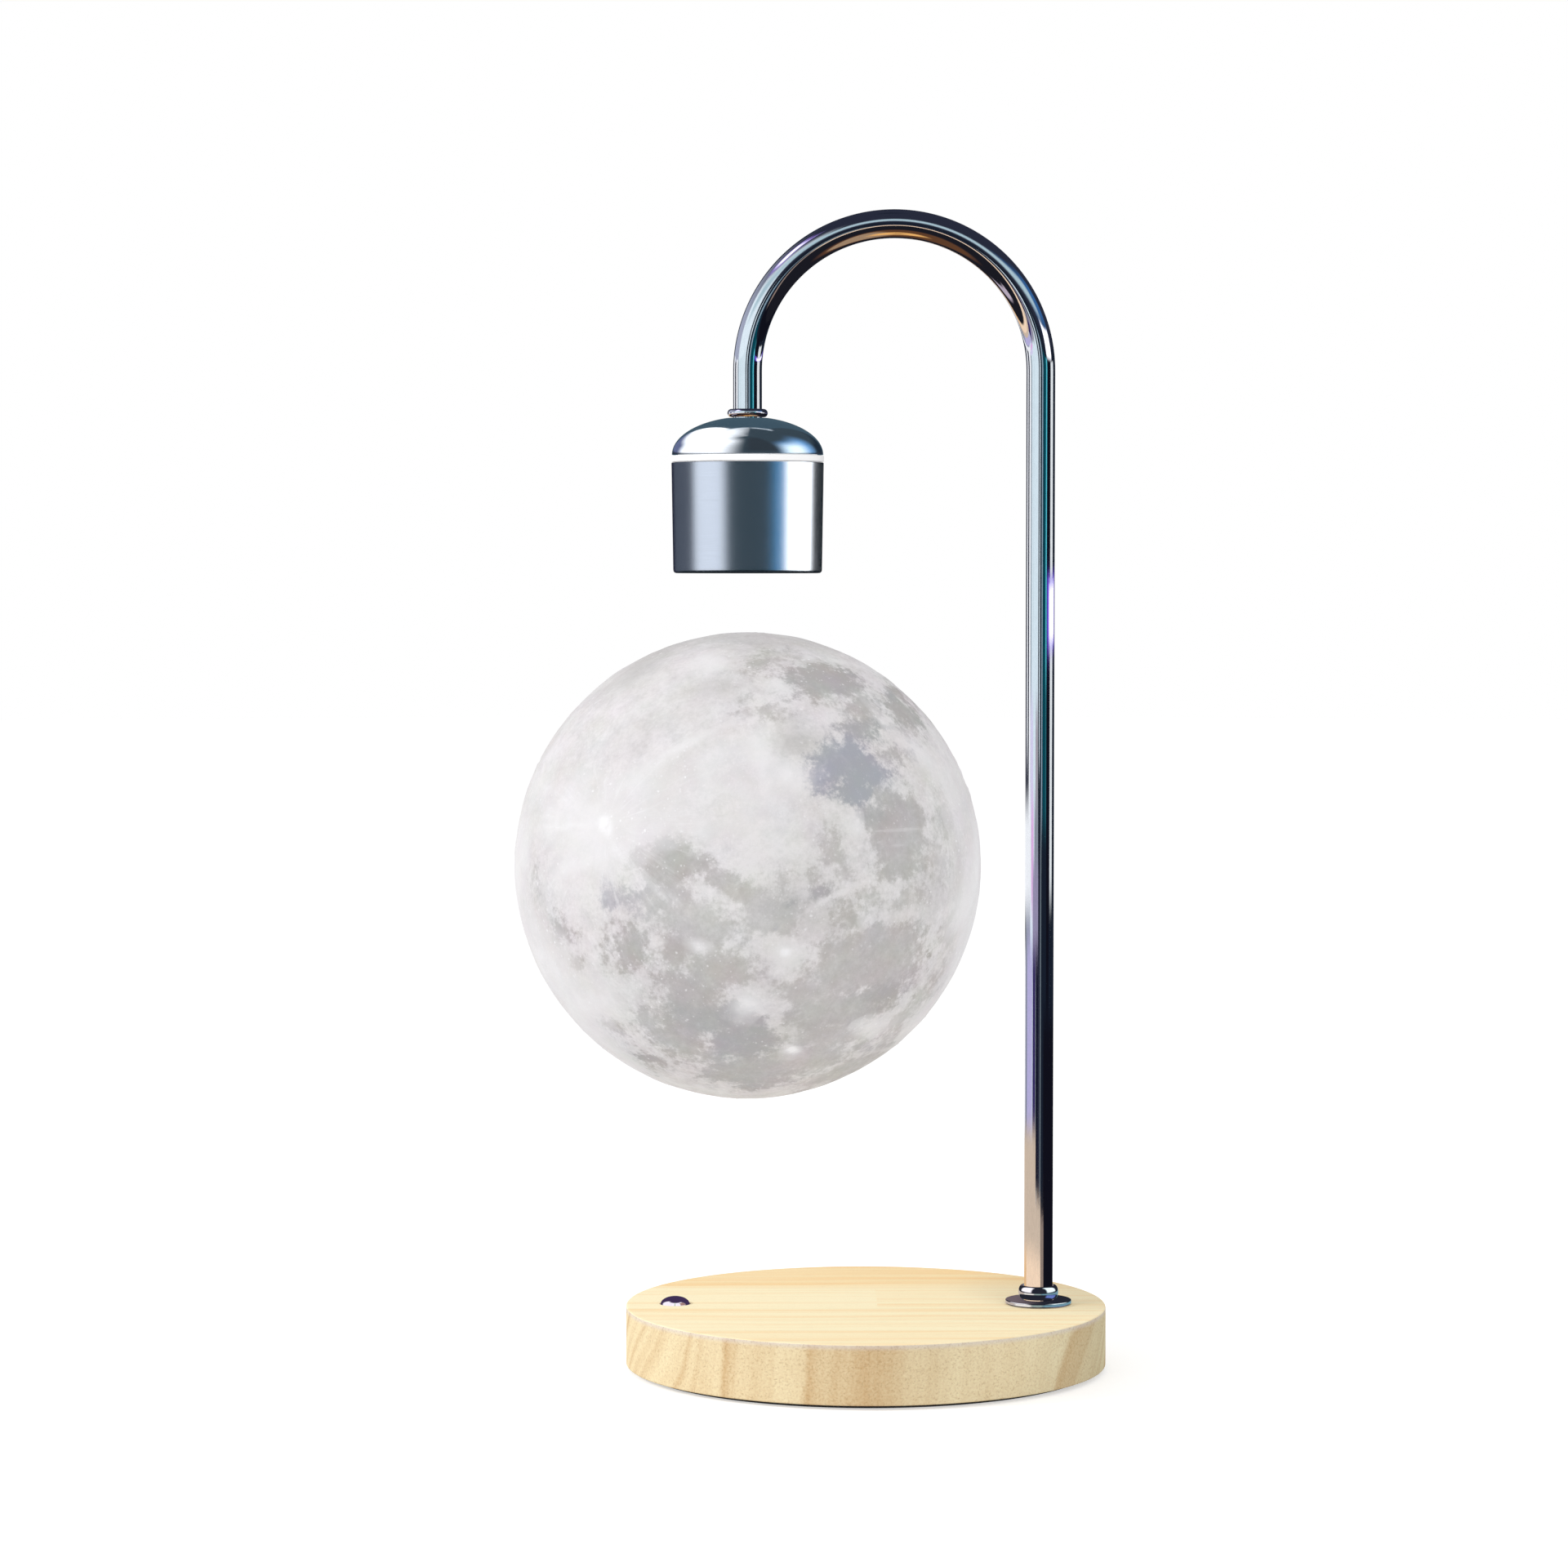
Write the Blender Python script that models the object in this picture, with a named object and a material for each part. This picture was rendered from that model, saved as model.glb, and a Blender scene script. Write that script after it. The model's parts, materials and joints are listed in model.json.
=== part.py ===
"""Levitating moon lamp, in metres with +Z up.

A round wooden base carries a bent chromed tube, the lamp head hangs from the tube, and a moon globe floats below
the head. The origin is the centre of the base's underside. The tube stands on the +X side, the push button is on
the -X side and the power inlet is at the back, on the +Y side.
"""

from math import acos, cos, pi, radians, sin, sqrt

import bmesh
import bpy
from mathutils import Vector
from mathutils.geometry import interpolate_bezier

# Fits
GAP = 0.0003  # air between two solids that touch on the real lamp
OVERRUN = 0.0010  # how far a cutter runs past the face that it opens
WELD = 0.000001  # points closer than this are one
SHARP_ANGLE = radians(32)

# Flat sides that stand for a circle, and steps along a curve
BASE_SIDES = 60
GLOBE_SIDES = 40
GLOBE_ROWS = 18
GLOBE_INSIDE_ROWS = 9
CAP_STEPS = 2
HEAD_SIDES = 32
INNER_SIDES = 16
TUBE_SIDES = 16
SMALL_SIDES = 8
ARC_STEPS = 3
DOME_STEPS = 6
BEND_STEPS = 18
LEAD_STEPS = 6
LEAD_BEVEL_RESOLUTION = 1

# Wooden base
BASE_RADIUS = 0.07725
WOOD_HEIGHT = 0.0189
WOOD_CHAMFER = 0.0004
RIM_WALL = 0.00825
CEILING_THICKNESS = 0.0055
LOBE_RADIUS = 0.0050  # wood left in the pocket for each cover screw
LOBE_FROM_WALL = 0.0038  # from the pocket's wall to a cover screw's axis
LOBE_ANGLES = [radians(angle) for angle in (30, 150, 210, 330)]

# Underside
PAD_THICKNESS = 0.0010
PAD_INSET = 0.0038  # the pad is this much smaller than the base all round
COVER_THICKNESS = 0.0020
COVER_LEDGE = 0.0035  # how far the cover laps over the rim

# Screws of the base
SHAFT_RADIUS = 0.0013
SHAFT_TIP = 0.0008
SUNK_HEAD_RADIUS = 0.0027
SUNK_HEAD_HEIGHT = 0.0014
PAN_HEAD_RADIUS = 0.0026
PAN_HEAD_HEIGHT = 0.0016
CEILING_BITE = 0.0036  # how far a screw reaches into the wood above the pocket
LOBE_BITE = 0.0070

# Steel ballast
BALLAST_LENGTH = 0.0760
BALLAST_WIDTH = 0.0400
BALLAST_THICKNESS = 0.0070
BALLAST_CORNER = 0.0060
BALLAST_X = -0.0040
BALLAST_FROM_MIDDLE = 0.0040  # from the base's middle plane to the plate's near edge
BALLAST_SCREW_INSET = 0.0100

# Control board
BOARD_LENGTH = 0.0660
BOARD_WIDTH = 0.0360
BOARD_THICKNESS = 0.0016
BOARD_FROM_INLET = 0.01205  # room for the inlet's lead behind the board
BOARD_SCREW_INSET = 0.0040
SPACER_RADIUS = 0.0025
SPACER_HEIGHT = 0.0030
CONNECTOR_WIDTH = 0.0060
CONNECTOR_HEIGHT = 0.0040
CONNECTOR_INSET = 0.0005
CHIP_WIDTH = 0.0070
CHIP_HEIGHT = 0.0014
CHIP_PITCH = 0.0120
CHIP_ROW = 0.0080  # from the board's long centre line, towards the middle of the base
CAPACITOR_RADIUS = 0.0031
CAPACITOR_HEIGHT = 0.0045
CAPACITOR_PITCH = 0.0160
CAPACITOR_ROW = 0.0040
LEAD_RADIUS = 0.0012
LEAD_STRAIGHT = 0.0012  # straight stretch at each end of a lead
LEAD_REACH = 0.0060  # length of a lead's bend at each end

# Power inlet at the back
INLET_HEIGHT = 0.0105
INLET_RECESS_RADIUS = 0.0055
INLET_RECESS_DEPTH = 0.0065
INLET_FLANGE_RADIUS = 0.0050
INLET_FLANGE_THICKNESS = 0.0010
INLET_BODY_RADIUS = 0.0036
INLET_LENGTH = 0.0120
INLET_BORE_RADIUS = 0.0029
INLET_BORE_DEPTH = 0.0090
INLET_PIN_RADIUS = 0.0010
INLET_PIN_SETBACK = 0.0010  # from the flange's face to the end of the pin

# Push button and its switch
BUTTON_FROM_WALL = 0.0075  # from the pocket's wall to the button's axis
BUTTON_RADIUS = 0.00463
BUTTON_DOME_HEIGHT = 0.0024
BUTTON_CLEARANCE = 0.0004
BUTTON_LIP = 0.0025  # wood that holds the button's shoulder down
BUTTON_SHOULDER = 0.0012  # how far the shoulder stands out from the cap
BUTTON_SHOULDER_THICKNESS = 0.0010
BUTTON_STEM_RADIUS = 0.0016
BUTTON_TRAVEL = 0.0010
PLUNGER_RADIUS = 0.0015
PLUNGER_LENGTH = 0.0016
PLUNGER_SHOWING = 0.0012
SWITCH_WIDTH = 0.0062
SWITCH_HEIGHT = 0.0020
SWITCH_BOARD_LENGTH = 0.0260
SWITCH_BOARD_WIDTH = 0.0080
SWITCH_SCREW_INSET = 0.0028

# Bent tube, its washers and nuts
POST_INSET = 0.02155  # from the base's edge to the post's axis
TUBE_RADIUS = 0.0046
TUBE_WALL = 0.0010
LEG_LENGTH = 0.0150  # straight tube between the bend and the head
FLANGE_RADIUS = 0.0106
FLANGE_THICKNESS = 0.0012
FLANGE_ROUND = 0.0003
COLLAR_LAND = 0.0004  # flat ring at each end of a collar, outside its bore
FOOT_COLLAR_RADIUS = 0.0064
FOOT_COLLAR_HEIGHT = 0.0043
HEAD_COLLAR_RADIUS = 0.00645
HEAD_COLLAR_HEIGHT = 0.0026
WASHER_THICKNESS = 0.0010
FOOT_WASHER_RADIUS = 0.0088
NUT_RADIUS = 0.0078  # over the corners
NUT_HEIGHT = 0.0030
NUT_CORNERS = 6
THREAD_SHOWING = 0.0008  # tube that stands out of a nut
STEM_LEAD_RADIUS = 0.0014
STEM_LEAD_TURN = 0.0050

# Lamp head
HEAD_WALL = 0.0012
DOME_RADIUS = 0.0242
DOME_HEIGHT = 0.0117
DOME_FLAT_RADIUS = 0.0068
RING_RADIUS = 0.0244
RING_HEIGHT = 0.0019
SPIGOT_WALL = 0.0015
SPIGOT_UP = 0.0015
SPIGOT_DOWN = 0.0020
BARREL_HEIGHT = 0.0353
BARREL_TOP_RADIUS = 0.02435
BARREL_LOW_RADIUS = 0.0238
BARREL_ROUND = 0.0009
BARREL_LIP = 0.0018  # how far the barrel's lower lip reaches under the bottom cap
BOTTOM_CAP_THICKNESS = 0.0020
CLAMP_BOSS_RADIUS = 0.0019
CLAMP_BOSS_HEIGHT = 0.0030
FINE_SHAFT_RADIUS = 0.0009
FINE_HEAD_RADIUS = 0.0018
FINE_HEAD_HEIGHT = 0.0013
CLAMP_COUNT = 3
HALL_BOARD_RADIUS = 0.0085
HALL_BOARD_THICKNESS = 0.0010
HALL_SENSOR_WIDTH = 0.0040
HALL_SENSOR_HEIGHT = 0.0012
TRANSMITTER_HEIGHT = 0.0020
FERRITE_THICKNESS = 0.0010
FERRITE_BORE_RADIUS = 0.0030
CORE_RADIUS = 0.0046
BOBBIN_WALL = 0.0012
LIFT_MAGNET_RADIUS = 0.0150
LIFT_MAGNET_HEIGHT = 0.0040
CLAMP_PLATE_THICKNESS = 0.0015
CLAMP_PLATE_DROP = 0.0040  # from the barrel's top to the plate's top
HEAD_SPACER_HEIGHT = 0.0020
HEAD_SPACER_RING = 0.0130
HEAD_BOARD_RADIUS = 0.0175

# Moon globe and the module in it
FLOAT_HEIGHT = 0.0668  # from the base's top to the globe
FLOAT_GAP = 0.0187  # from the globe to the lamp head
MOON_RADIUS = 0.0750
MOON_TO_POST = 0.0141
MOON_WALL = 0.0016
MOON_OPENING_RADIUS = 0.0220
CAP_SKIRT_WALL = 0.0016
CAP_SKIRT_DEPTH = 0.0035
HOUSING_WALL = 0.0015
HOUSING_FLOOR = 0.0030
PICKUP_HEIGHT = 0.0020
PICKUP_BORE_RADIUS = 0.0080
FLOAT_MAGNET_HEIGHT = 0.0060
BACK_PLATE_THICKNESS = 0.0015
MAGNET_PLAY = 0.0010  # between the magnet's rim and the housing's wall
MODULE_BOSS_RADIUS = 0.0024
MODULE_BOSS_HEIGHT = 0.0020
MODULE_BOSS_INSET = 0.0050
STAKE_RADIUS = 0.0010
STAKE_HEAD_RADIUS = 0.0019
STAKE_HEAD_HEIGHT = 0.0010
PICKUP_BOARD_INSET = 0.0015
MODULE_BOARD_THICKNESS = 0.0012
PICKUP_CHIP_WIDTH = 0.0050
PICKUP_CHIP_HEIGHT = 0.0012
PICKUP_CHIP_RING = 0.0100
PIN_RADIUS = 0.0005
PIN_LENGTH = 0.0090
PIN_RING = 0.0035
PIN_COUNT = 4
LED_BOARD_RADIUS = 0.0130
LED_WIDTH = 0.0030
LED_HEIGHT = 0.0008
LED_RING = 0.0090
LED_COUNT = 6
DIFFUSER_WALL = 0.0012
DIFFUSER_DEPTH = 0.0130

# Heights and places in the base
WOOD_LOW = PAD_THICKNESS + GAP
BASE_TOP = WOOD_LOW + WOOD_HEIGHT
CEILING = BASE_TOP - CEILING_THICKNESS
POCKET_RADIUS = BASE_RADIUS - RIM_WALL
COVER_RADIUS = POCKET_RADIUS + COVER_LEDGE
COVER_TOP = WOOD_LOW + COVER_THICKNESS
LOBE_RING = POCKET_RADIUS - LOBE_FROM_WALL
LOBE_TIP = COVER_TOP + LOBE_BITE
CEILING_TIP = CEILING + CEILING_BITE
BALLAST_TOP = CEILING - GAP
BALLAST_LOW = BALLAST_TOP - BALLAST_THICKNESS
BALLAST_Y = -BALLAST_FROM_MIDDLE - BALLAST_WIDTH / 2
INLET_FACE = GAP + INLET_FLANGE_THICKNESS - INLET_RECESS_DEPTH  # below the base's edge, as the inlet's Z
INLET_END = BASE_RADIUS + INLET_FACE - INLET_LENGTH
BOARD_TOP = CEILING - GAP - SPACER_HEIGHT
BOARD_LOW = BOARD_TOP - BOARD_THICKNESS
BOARD_SEAT = BOARD_LOW - GAP
BOARD_Y = INLET_END - BOARD_FROM_INLET - BOARD_WIDTH / 2
PLUG_INSET = CONNECTOR_INSET + CONNECTOR_WIDTH / 2
PLUG_X = BOARD_LENGTH / 2 - PLUG_INSET
PLUG_Y = BOARD_Y + BOARD_WIDTH / 2 - PLUG_INSET
PLUG_REACH = CONNECTOR_WIDTH / 2 + GAP
LEAD_HEIGHT = BOARD_LOW - CONNECTOR_HEIGHT / 2

BUTTON_X = BUTTON_FROM_WALL - POCKET_RADIUS
SHOULDER_TOP = BASE_TOP - BUTTON_LIP - GAP
SHOULDER_LOW = SHOULDER_TOP - BUTTON_SHOULDER_THICKNESS
SHOULDER_RADIUS = BUTTON_RADIUS + BUTTON_SHOULDER
SWITCH_LOW = BOARD_TOP + GAP
SWITCH_TOP = SWITCH_LOW + SWITCH_HEIGHT
PLUNGER_TOP = SWITCH_TOP + PLUNGER_SHOWING
PLUNGER_LOW = PLUNGER_TOP - PLUNGER_LENGTH
BUTTON_LOW = PLUNGER_TOP + GAP

# Heights and places of the tube, the head and the globe
POST_X = BASE_RADIUS - POST_INSET
BEND_RADIUS = (MOON_RADIUS + MOON_TO_POST + TUBE_RADIUS) / 2
BEND_X = POST_X - BEND_RADIUS
HEAD_X = BEND_X - BEND_RADIUS
MOON_Z = BASE_TOP + FLOAT_HEIGHT + MOON_RADIUS
BARREL_LOW = MOON_Z + MOON_RADIUS + FLOAT_GAP
BARREL_TOP = BARREL_LOW + BARREL_HEIGHT
RING_LOW = BARREL_TOP + GAP
RING_TOP = RING_LOW + RING_HEIGHT
DOME_LOW = RING_TOP + GAP
HEAD_TOP = DOME_LOW + DOME_HEIGHT
BEND_Z = HEAD_TOP + LEG_LENGTH
TUBE_HOLE_RADIUS = TUBE_RADIUS + GAP
FOOT_NUT_TOP = CEILING - WASHER_THICKNESS - 2 * GAP
TUBE_LOW = FOOT_NUT_TOP - NUT_HEIGHT - THREAD_SHOWING
HEAD_NUT_TOP = HEAD_TOP - HEAD_WALL - WASHER_THICKNESS - 2 * GAP
LEG_LOW = HEAD_NUT_TOP - NUT_HEIGHT - THREAD_SHOWING

# Stack inside the head, from its bottom cap up and from its clamp plate down
HEAD_BORE_RADIUS = BARREL_LOW_RADIUS - HEAD_WALL - GAP
BOTTOM_CAP_LOW = BARREL_LOW + HEAD_WALL + GAP
BOTTOM_CAP_TOP = BOTTOM_CAP_LOW + BOTTOM_CAP_THICKNESS
CLAMP_RING = HEAD_BORE_RADIUS - CLAMP_BOSS_RADIUS - GAP
COIL_RADIUS = CLAMP_RING - CLAMP_BOSS_RADIUS - GAP
HALL_BOARD_TOP = BOTTOM_CAP_TOP + GAP + HALL_BOARD_THICKNESS
HALL_SENSOR_TOP = HALL_BOARD_TOP + HALL_SENSOR_HEIGHT
TRANSMITTER_TOP = BOTTOM_CAP_TOP + GAP + TRANSMITTER_HEIGHT
FERRITE_LOW = max(HALL_SENSOR_TOP, TRANSMITTER_TOP) + GAP
FERRITE_TOP = FERRITE_LOW + FERRITE_THICKNESS
BOBBIN_LOW = max(FERRITE_TOP, BOTTOM_CAP_TOP + CLAMP_BOSS_HEIGHT) + GAP
BOBBIN_RADIUS = CLAMP_RING - FINE_SHAFT_RADIUS - 2 * GAP
CLAMP_PLATE_TOP = BARREL_TOP - CLAMP_PLATE_DROP
LIFT_MAGNET_TOP = CLAMP_PLATE_TOP - CLAMP_PLATE_THICKNESS - GAP
BOBBIN_TOP = LIFT_MAGNET_TOP - LIFT_MAGNET_HEIGHT - GAP
HEAD_BOARD_LOW = CLAMP_PLATE_TOP + GAP + HEAD_SPACER_HEIGHT
HEAD_BOARD_TOP = HEAD_BOARD_LOW + BOARD_THICKNESS

# Stack inside the globe, in heights above its centre
MOON_BORE_RADIUS = MOON_RADIUS - MOON_WALL
CAP_RADIUS = MOON_OPENING_RADIUS - GAP
CAP_BORE_RADIUS = CAP_RADIUS - CAP_SKIRT_WALL
HOUSING_RADIUS = CAP_BORE_RADIUS - GAP
HOUSING_TOP = sqrt(MOON_BORE_RADIUS**2 - CAP_BORE_RADIUS**2) - GAP
PICKUP_LOW = HOUSING_TOP - PICKUP_HEIGHT
FLOAT_MAGNET_LOW = PICKUP_LOW - GAP - FLOAT_MAGNET_HEIGHT
BACK_PLATE_LOW = FLOAT_MAGNET_LOW - GAP - BACK_PLATE_THICKNESS
HOUSING_FLOOR_TOP = BACK_PLATE_LOW - GAP
HOUSING_LOW = HOUSING_FLOOR_TOP - HOUSING_FLOOR
MODULE_RING = HOUSING_RADIUS - MODULE_BOSS_INSET
PICKUP_BOARD_TOP = HOUSING_LOW - MODULE_BOSS_HEIGHT - GAP
PICKUP_BOARD_LOW = PICKUP_BOARD_TOP - MODULE_BOARD_THICKNESS
LED_BOARD_TOP = PICKUP_BOARD_LOW - PIN_LENGTH - GAP
LED_BOARD_LOW = LED_BOARD_TOP - MODULE_BOARD_THICKNESS

for thing in list(bpy.data.objects):
    bpy.data.objects.remove(thing)


def finish(name, colour, roughness, metallic=0.0):
    """A plain Principled material."""
    material = bpy.data.materials.new(name)
    material.use_nodes = True
    shader = material.node_tree.nodes["Principled BSDF"]
    shader.inputs["Base Color"].default_value = (*colour, 1.0)
    shader.inputs["Roughness"].default_value = roughness
    shader.inputs["Metallic"].default_value = metallic
    return material


PALE_WOOD = finish("pale_wood", (0.86, 0.70, 0.46), 0.30)
CHROME = finish("chrome", (0.86, 0.87, 0.90), 0.06, 1.0)
SATIN_METAL = finish("satin_metal", (0.46, 0.47, 0.50), 0.28, 1.0)
MOON_PLASTIC = finish("moon_plastic", (0.74, 0.74, 0.76), 0.75)
WHITE_PLASTIC = finish("white_plastic", (0.90, 0.90, 0.90), 0.35)
BLACK_PLASTIC = finish("black_plastic", (0.03, 0.03, 0.035), 0.45)
OPAL_PLASTIC = finish("opal_plastic", (0.93, 0.92, 0.88), 0.50)
PAD_RUBBER = finish("pad_rubber", (0.05, 0.05, 0.05), 0.90)
STEEL = finish("steel", (0.58, 0.58, 0.60), 0.35, 1.0)
BRASS = finish("brass", (0.80, 0.62, 0.28), 0.30, 1.0)
COPPER = finish("copper_wire", (0.76, 0.38, 0.20), 0.35, 1.0)
MAGNET_PLATING = finish("magnet_plating", (0.70, 0.69, 0.66), 0.25, 1.0)
FERRITE = finish("ferrite", (0.07, 0.07, 0.08), 0.70)
BOARD_GREEN = finish("circuit_board", (0.04, 0.20, 0.09), 0.45)


def carrier(name, place, turn=(0, 0, 0)):
    """An empty on the axis of a sub-assembly, which carries its pieces."""
    empty = bpy.data.objects.new(name, None)
    empty.location = place
    empty.rotation_euler = turn
    bpy.context.scene.collection.objects.link(empty)
    return empty


def turned(outline, sides):
    """A body turned about Z from (radius, height) points. One that starts and ends on the axis has no bore."""
    body = bmesh.new()
    points = [body.verts.new((radius, 0, height)) for radius, height in outline]
    has_bore = max(outline[0][0], outline[-1][0]) > WELD
    ends = points[1:] + points[:1] if has_bore else points[1:]
    edges = [body.edges.new(pair) for pair in zip(points, ends)]
    bmesh.ops.spin(
        body, geom=points + edges, axis=(0, 0, 1), cent=(0, 0, 0), angle=2 * pi, steps=sides, use_merge=True
    )
    bmesh.ops.remove_doubles(body, verts=body.verts, dist=WELD)
    bmesh.ops.recalc_face_normals(body, faces=body.faces)
    return body


def cylinder(radius, low, high, sides):
    return turned([(0, low), (radius, low), (radius, high), (0, high)], sides)


def ring(bore, radius, low, high, sides):
    return turned([(bore, low), (radius, low), (radius, high), (bore, high)], sides)


def arc(radius, start, end, steps):
    """(radius, height) points on a circle about the origin, between two angles above the horizontal."""
    angles = [start + (end - start) * step / steps for step in range(steps + 1)]
    return [(radius * cos(angle), radius * sin(angle)) for angle in angles]


def block(length, width, low, high, corner=0):
    """An upright block centred on the axis, with its corners cut off where a corner is given."""
    x, y = length / 2, width / 2
    right = [(x, corner - y), (x, y - corner), (x - corner, y)] if corner else [(x, -y), (x, y)]
    if corner:
        right.insert(0, (x - corner, -y))
    outline = right + [(-px, -py) for px, py in right]
    body = bmesh.new()
    lower = [body.verts.new((px, py, low)) for px, py in outline]
    upper = [body.verts.new((px, py, high)) for px, py in outline]
    body.faces.new(lower)
    body.faces.new(upper)
    for index, start in enumerate(lower):
        body.faces.new((start, lower[index - 1], upper[index - 1], upper[index]))
    bmesh.ops.recalc_face_normals(body, faces=body.faces)
    return body


def bead(bore, radius, low, height):
    """A collar whose outside bulges in a half ellipse between two flat ends."""
    land = bore + COLLAR_LAND
    steps = 2 * ARC_STEPS
    turns = [pi * step / steps for step in range(steps + 1)]
    bulge = [(land + (radius - land) * sin(turn), low + height * (1 - cos(turn)) / 2) for turn in turns]
    return turned([(bore, low), *bulge, (bore, low + height)], TUBE_SIDES)


def screw(shaft_radius, head_radius, head_height, reach, way=1):
    """A pan-headed screw about height 0, where its head seats. It points up, or down where way is -1."""
    crown = head_radius - head_height / 2
    outline = [(0, -head_height), (crown, -head_height), (head_radius, -head_height / 2), (head_radius, 0)]
    outline += [(shaft_radius, 0), (shaft_radius, reach - SHAFT_TIP), (0, reach)]
    return turned([(radius, way * height) for radius, height in outline], SMALL_SIDES)


def pan_screw(reach):
    return screw(SHAFT_RADIUS, PAN_HEAD_RADIUS, PAN_HEAD_HEIGHT, reach)


def screw_hole(low, high, radius=SHAFT_RADIUS):
    return cylinder(radius + GAP, low, high, SMALL_SIDES)


def copies(shape, places, height=0):
    """A body made anew at each (x, y) place. Shape is a function that makes one."""
    bodies = []
    for x, y in places:
        body = shape()
        bmesh.ops.translate(body, verts=body.verts, vec=(x, y, height))
        bodies.append(body)
    return bodies


def around(count, radius, start=0):
    """Places spread evenly on a circle."""
    angles = [start + 2 * pi * index / count for index in range(count)]
    return [(radius * cos(angle), radius * sin(angle)) for angle in angles]


def solid(name, material, axis, *bodies):
    """One object made of closed bodies, given in the coordinates of the empty that carries it."""
    mesh = bpy.data.meshes.new(name)
    joined = bmesh.new()
    for body in bodies:
        body.to_mesh(mesh)
        body.free()
        joined.from_mesh(mesh)
    joined.to_mesh(mesh)
    joined.free()
    mesh.shade_smooth()
    mesh.set_sharp_from_angle(angle=SHARP_ANGLE)
    mesh.materials.append(material)
    piece = bpy.data.objects.new(name, mesh)
    piece.parent = axis
    bpy.context.scene.collection.objects.link(piece)
    return piece


def repeated(name, material, axis, body, places, height=0):
    """The same piece at each (x, y) place, as objects that share one mesh."""
    first = solid(f"{name}_1", material, axis, body)
    first.location = (*places[0], height)
    for number, place in enumerate(places[1:], 2):
        piece = bpy.data.objects.new(f"{name}_{number}", first.data)
        piece.parent = axis
        piece.location = (*place, height)
        bpy.context.scene.collection.objects.link(piece)


def combine(piece, name, bodies, operation="DIFFERENCE"):
    """Cuts bodies out of a piece, or joins them to it. The shape that does so isn't a piece itself."""
    shape = solid(name, piece.data.materials[0], piece.parent, *bodies)
    shape.hide_render = True
    shape.display_type = "WIRE"
    modifier = piece.modifiers.new(name, "BOOLEAN")
    modifier.operation = operation
    modifier.object = shape
    return shape


def lead(name, material, route, radius):
    """A round cable along the points of a route."""
    curve = bpy.data.curves.new(name, "CURVE")
    curve.dimensions = "3D"
    curve.bevel_depth = radius
    curve.bevel_resolution = LEAD_BEVEL_RESOLUTION
    curve.use_fill_caps = True
    curve.materials.append(material)
    spline = curve.splines.new("POLY")
    spline.points.add(len(route) - 1)
    for point, place in zip(spline.points, route):
        point.co = (*place, 1)
    piece = bpy.data.objects.new(name, curve)
    bpy.context.scene.collection.objects.link(piece)


def swept(start, end, way, reach=LEAD_REACH):
    """A smooth route that leaves its start and arrives at its end straight along one direction."""
    start, end, way = Vector(start), Vector(end), Vector(way)
    near, far = start + LEAD_STRAIGHT * way, end - LEAD_STRAIGHT * way
    return [start, *interpolate_bezier(near, near + reach * way, far - reach * way, far, LEAD_STEPS), end]


base_axis = carrier("base_axis", (0, 0, 0))
inlet_axis = carrier("inlet_axis", (0, BASE_RADIUS, INLET_HEIGHT), (-pi / 2, 0, 0))
button_axis = carrier("button_axis", (BUTTON_X, 0, 0))
post_axis = carrier("post_axis", (POST_X, 0, 0))
head_axis = carrier("head_axis", (HEAD_X, 0, 0))
moon_axis = carrier("moon_axis", (HEAD_X, 0, MOON_Z))

lobe_places = [(LOBE_RING * cos(angle), LOBE_RING * sin(angle)) for angle in LOBE_ANGLES]
ballast_reach = BALLAST_LENGTH / 2 - BALLAST_SCREW_INSET
ballast_places = [(BALLAST_X - ballast_reach, BALLAST_Y), (BALLAST_X + ballast_reach, BALLAST_Y)]
board_reach_x = BOARD_LENGTH / 2 - BOARD_SCREW_INSET
board_reach_y = BOARD_WIDTH / 2 - BOARD_SCREW_INSET
board_places = [(sx * board_reach_x, BOARD_Y + sy * board_reach_y) for sx in (-1, 1) for sy in (-1, 1)]
switch_reach = SWITCH_BOARD_LENGTH / 2 - SWITCH_SCREW_INSET
switch_places = [(BUTTON_X, -switch_reach), (BUTTON_X, switch_reach)]


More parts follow.
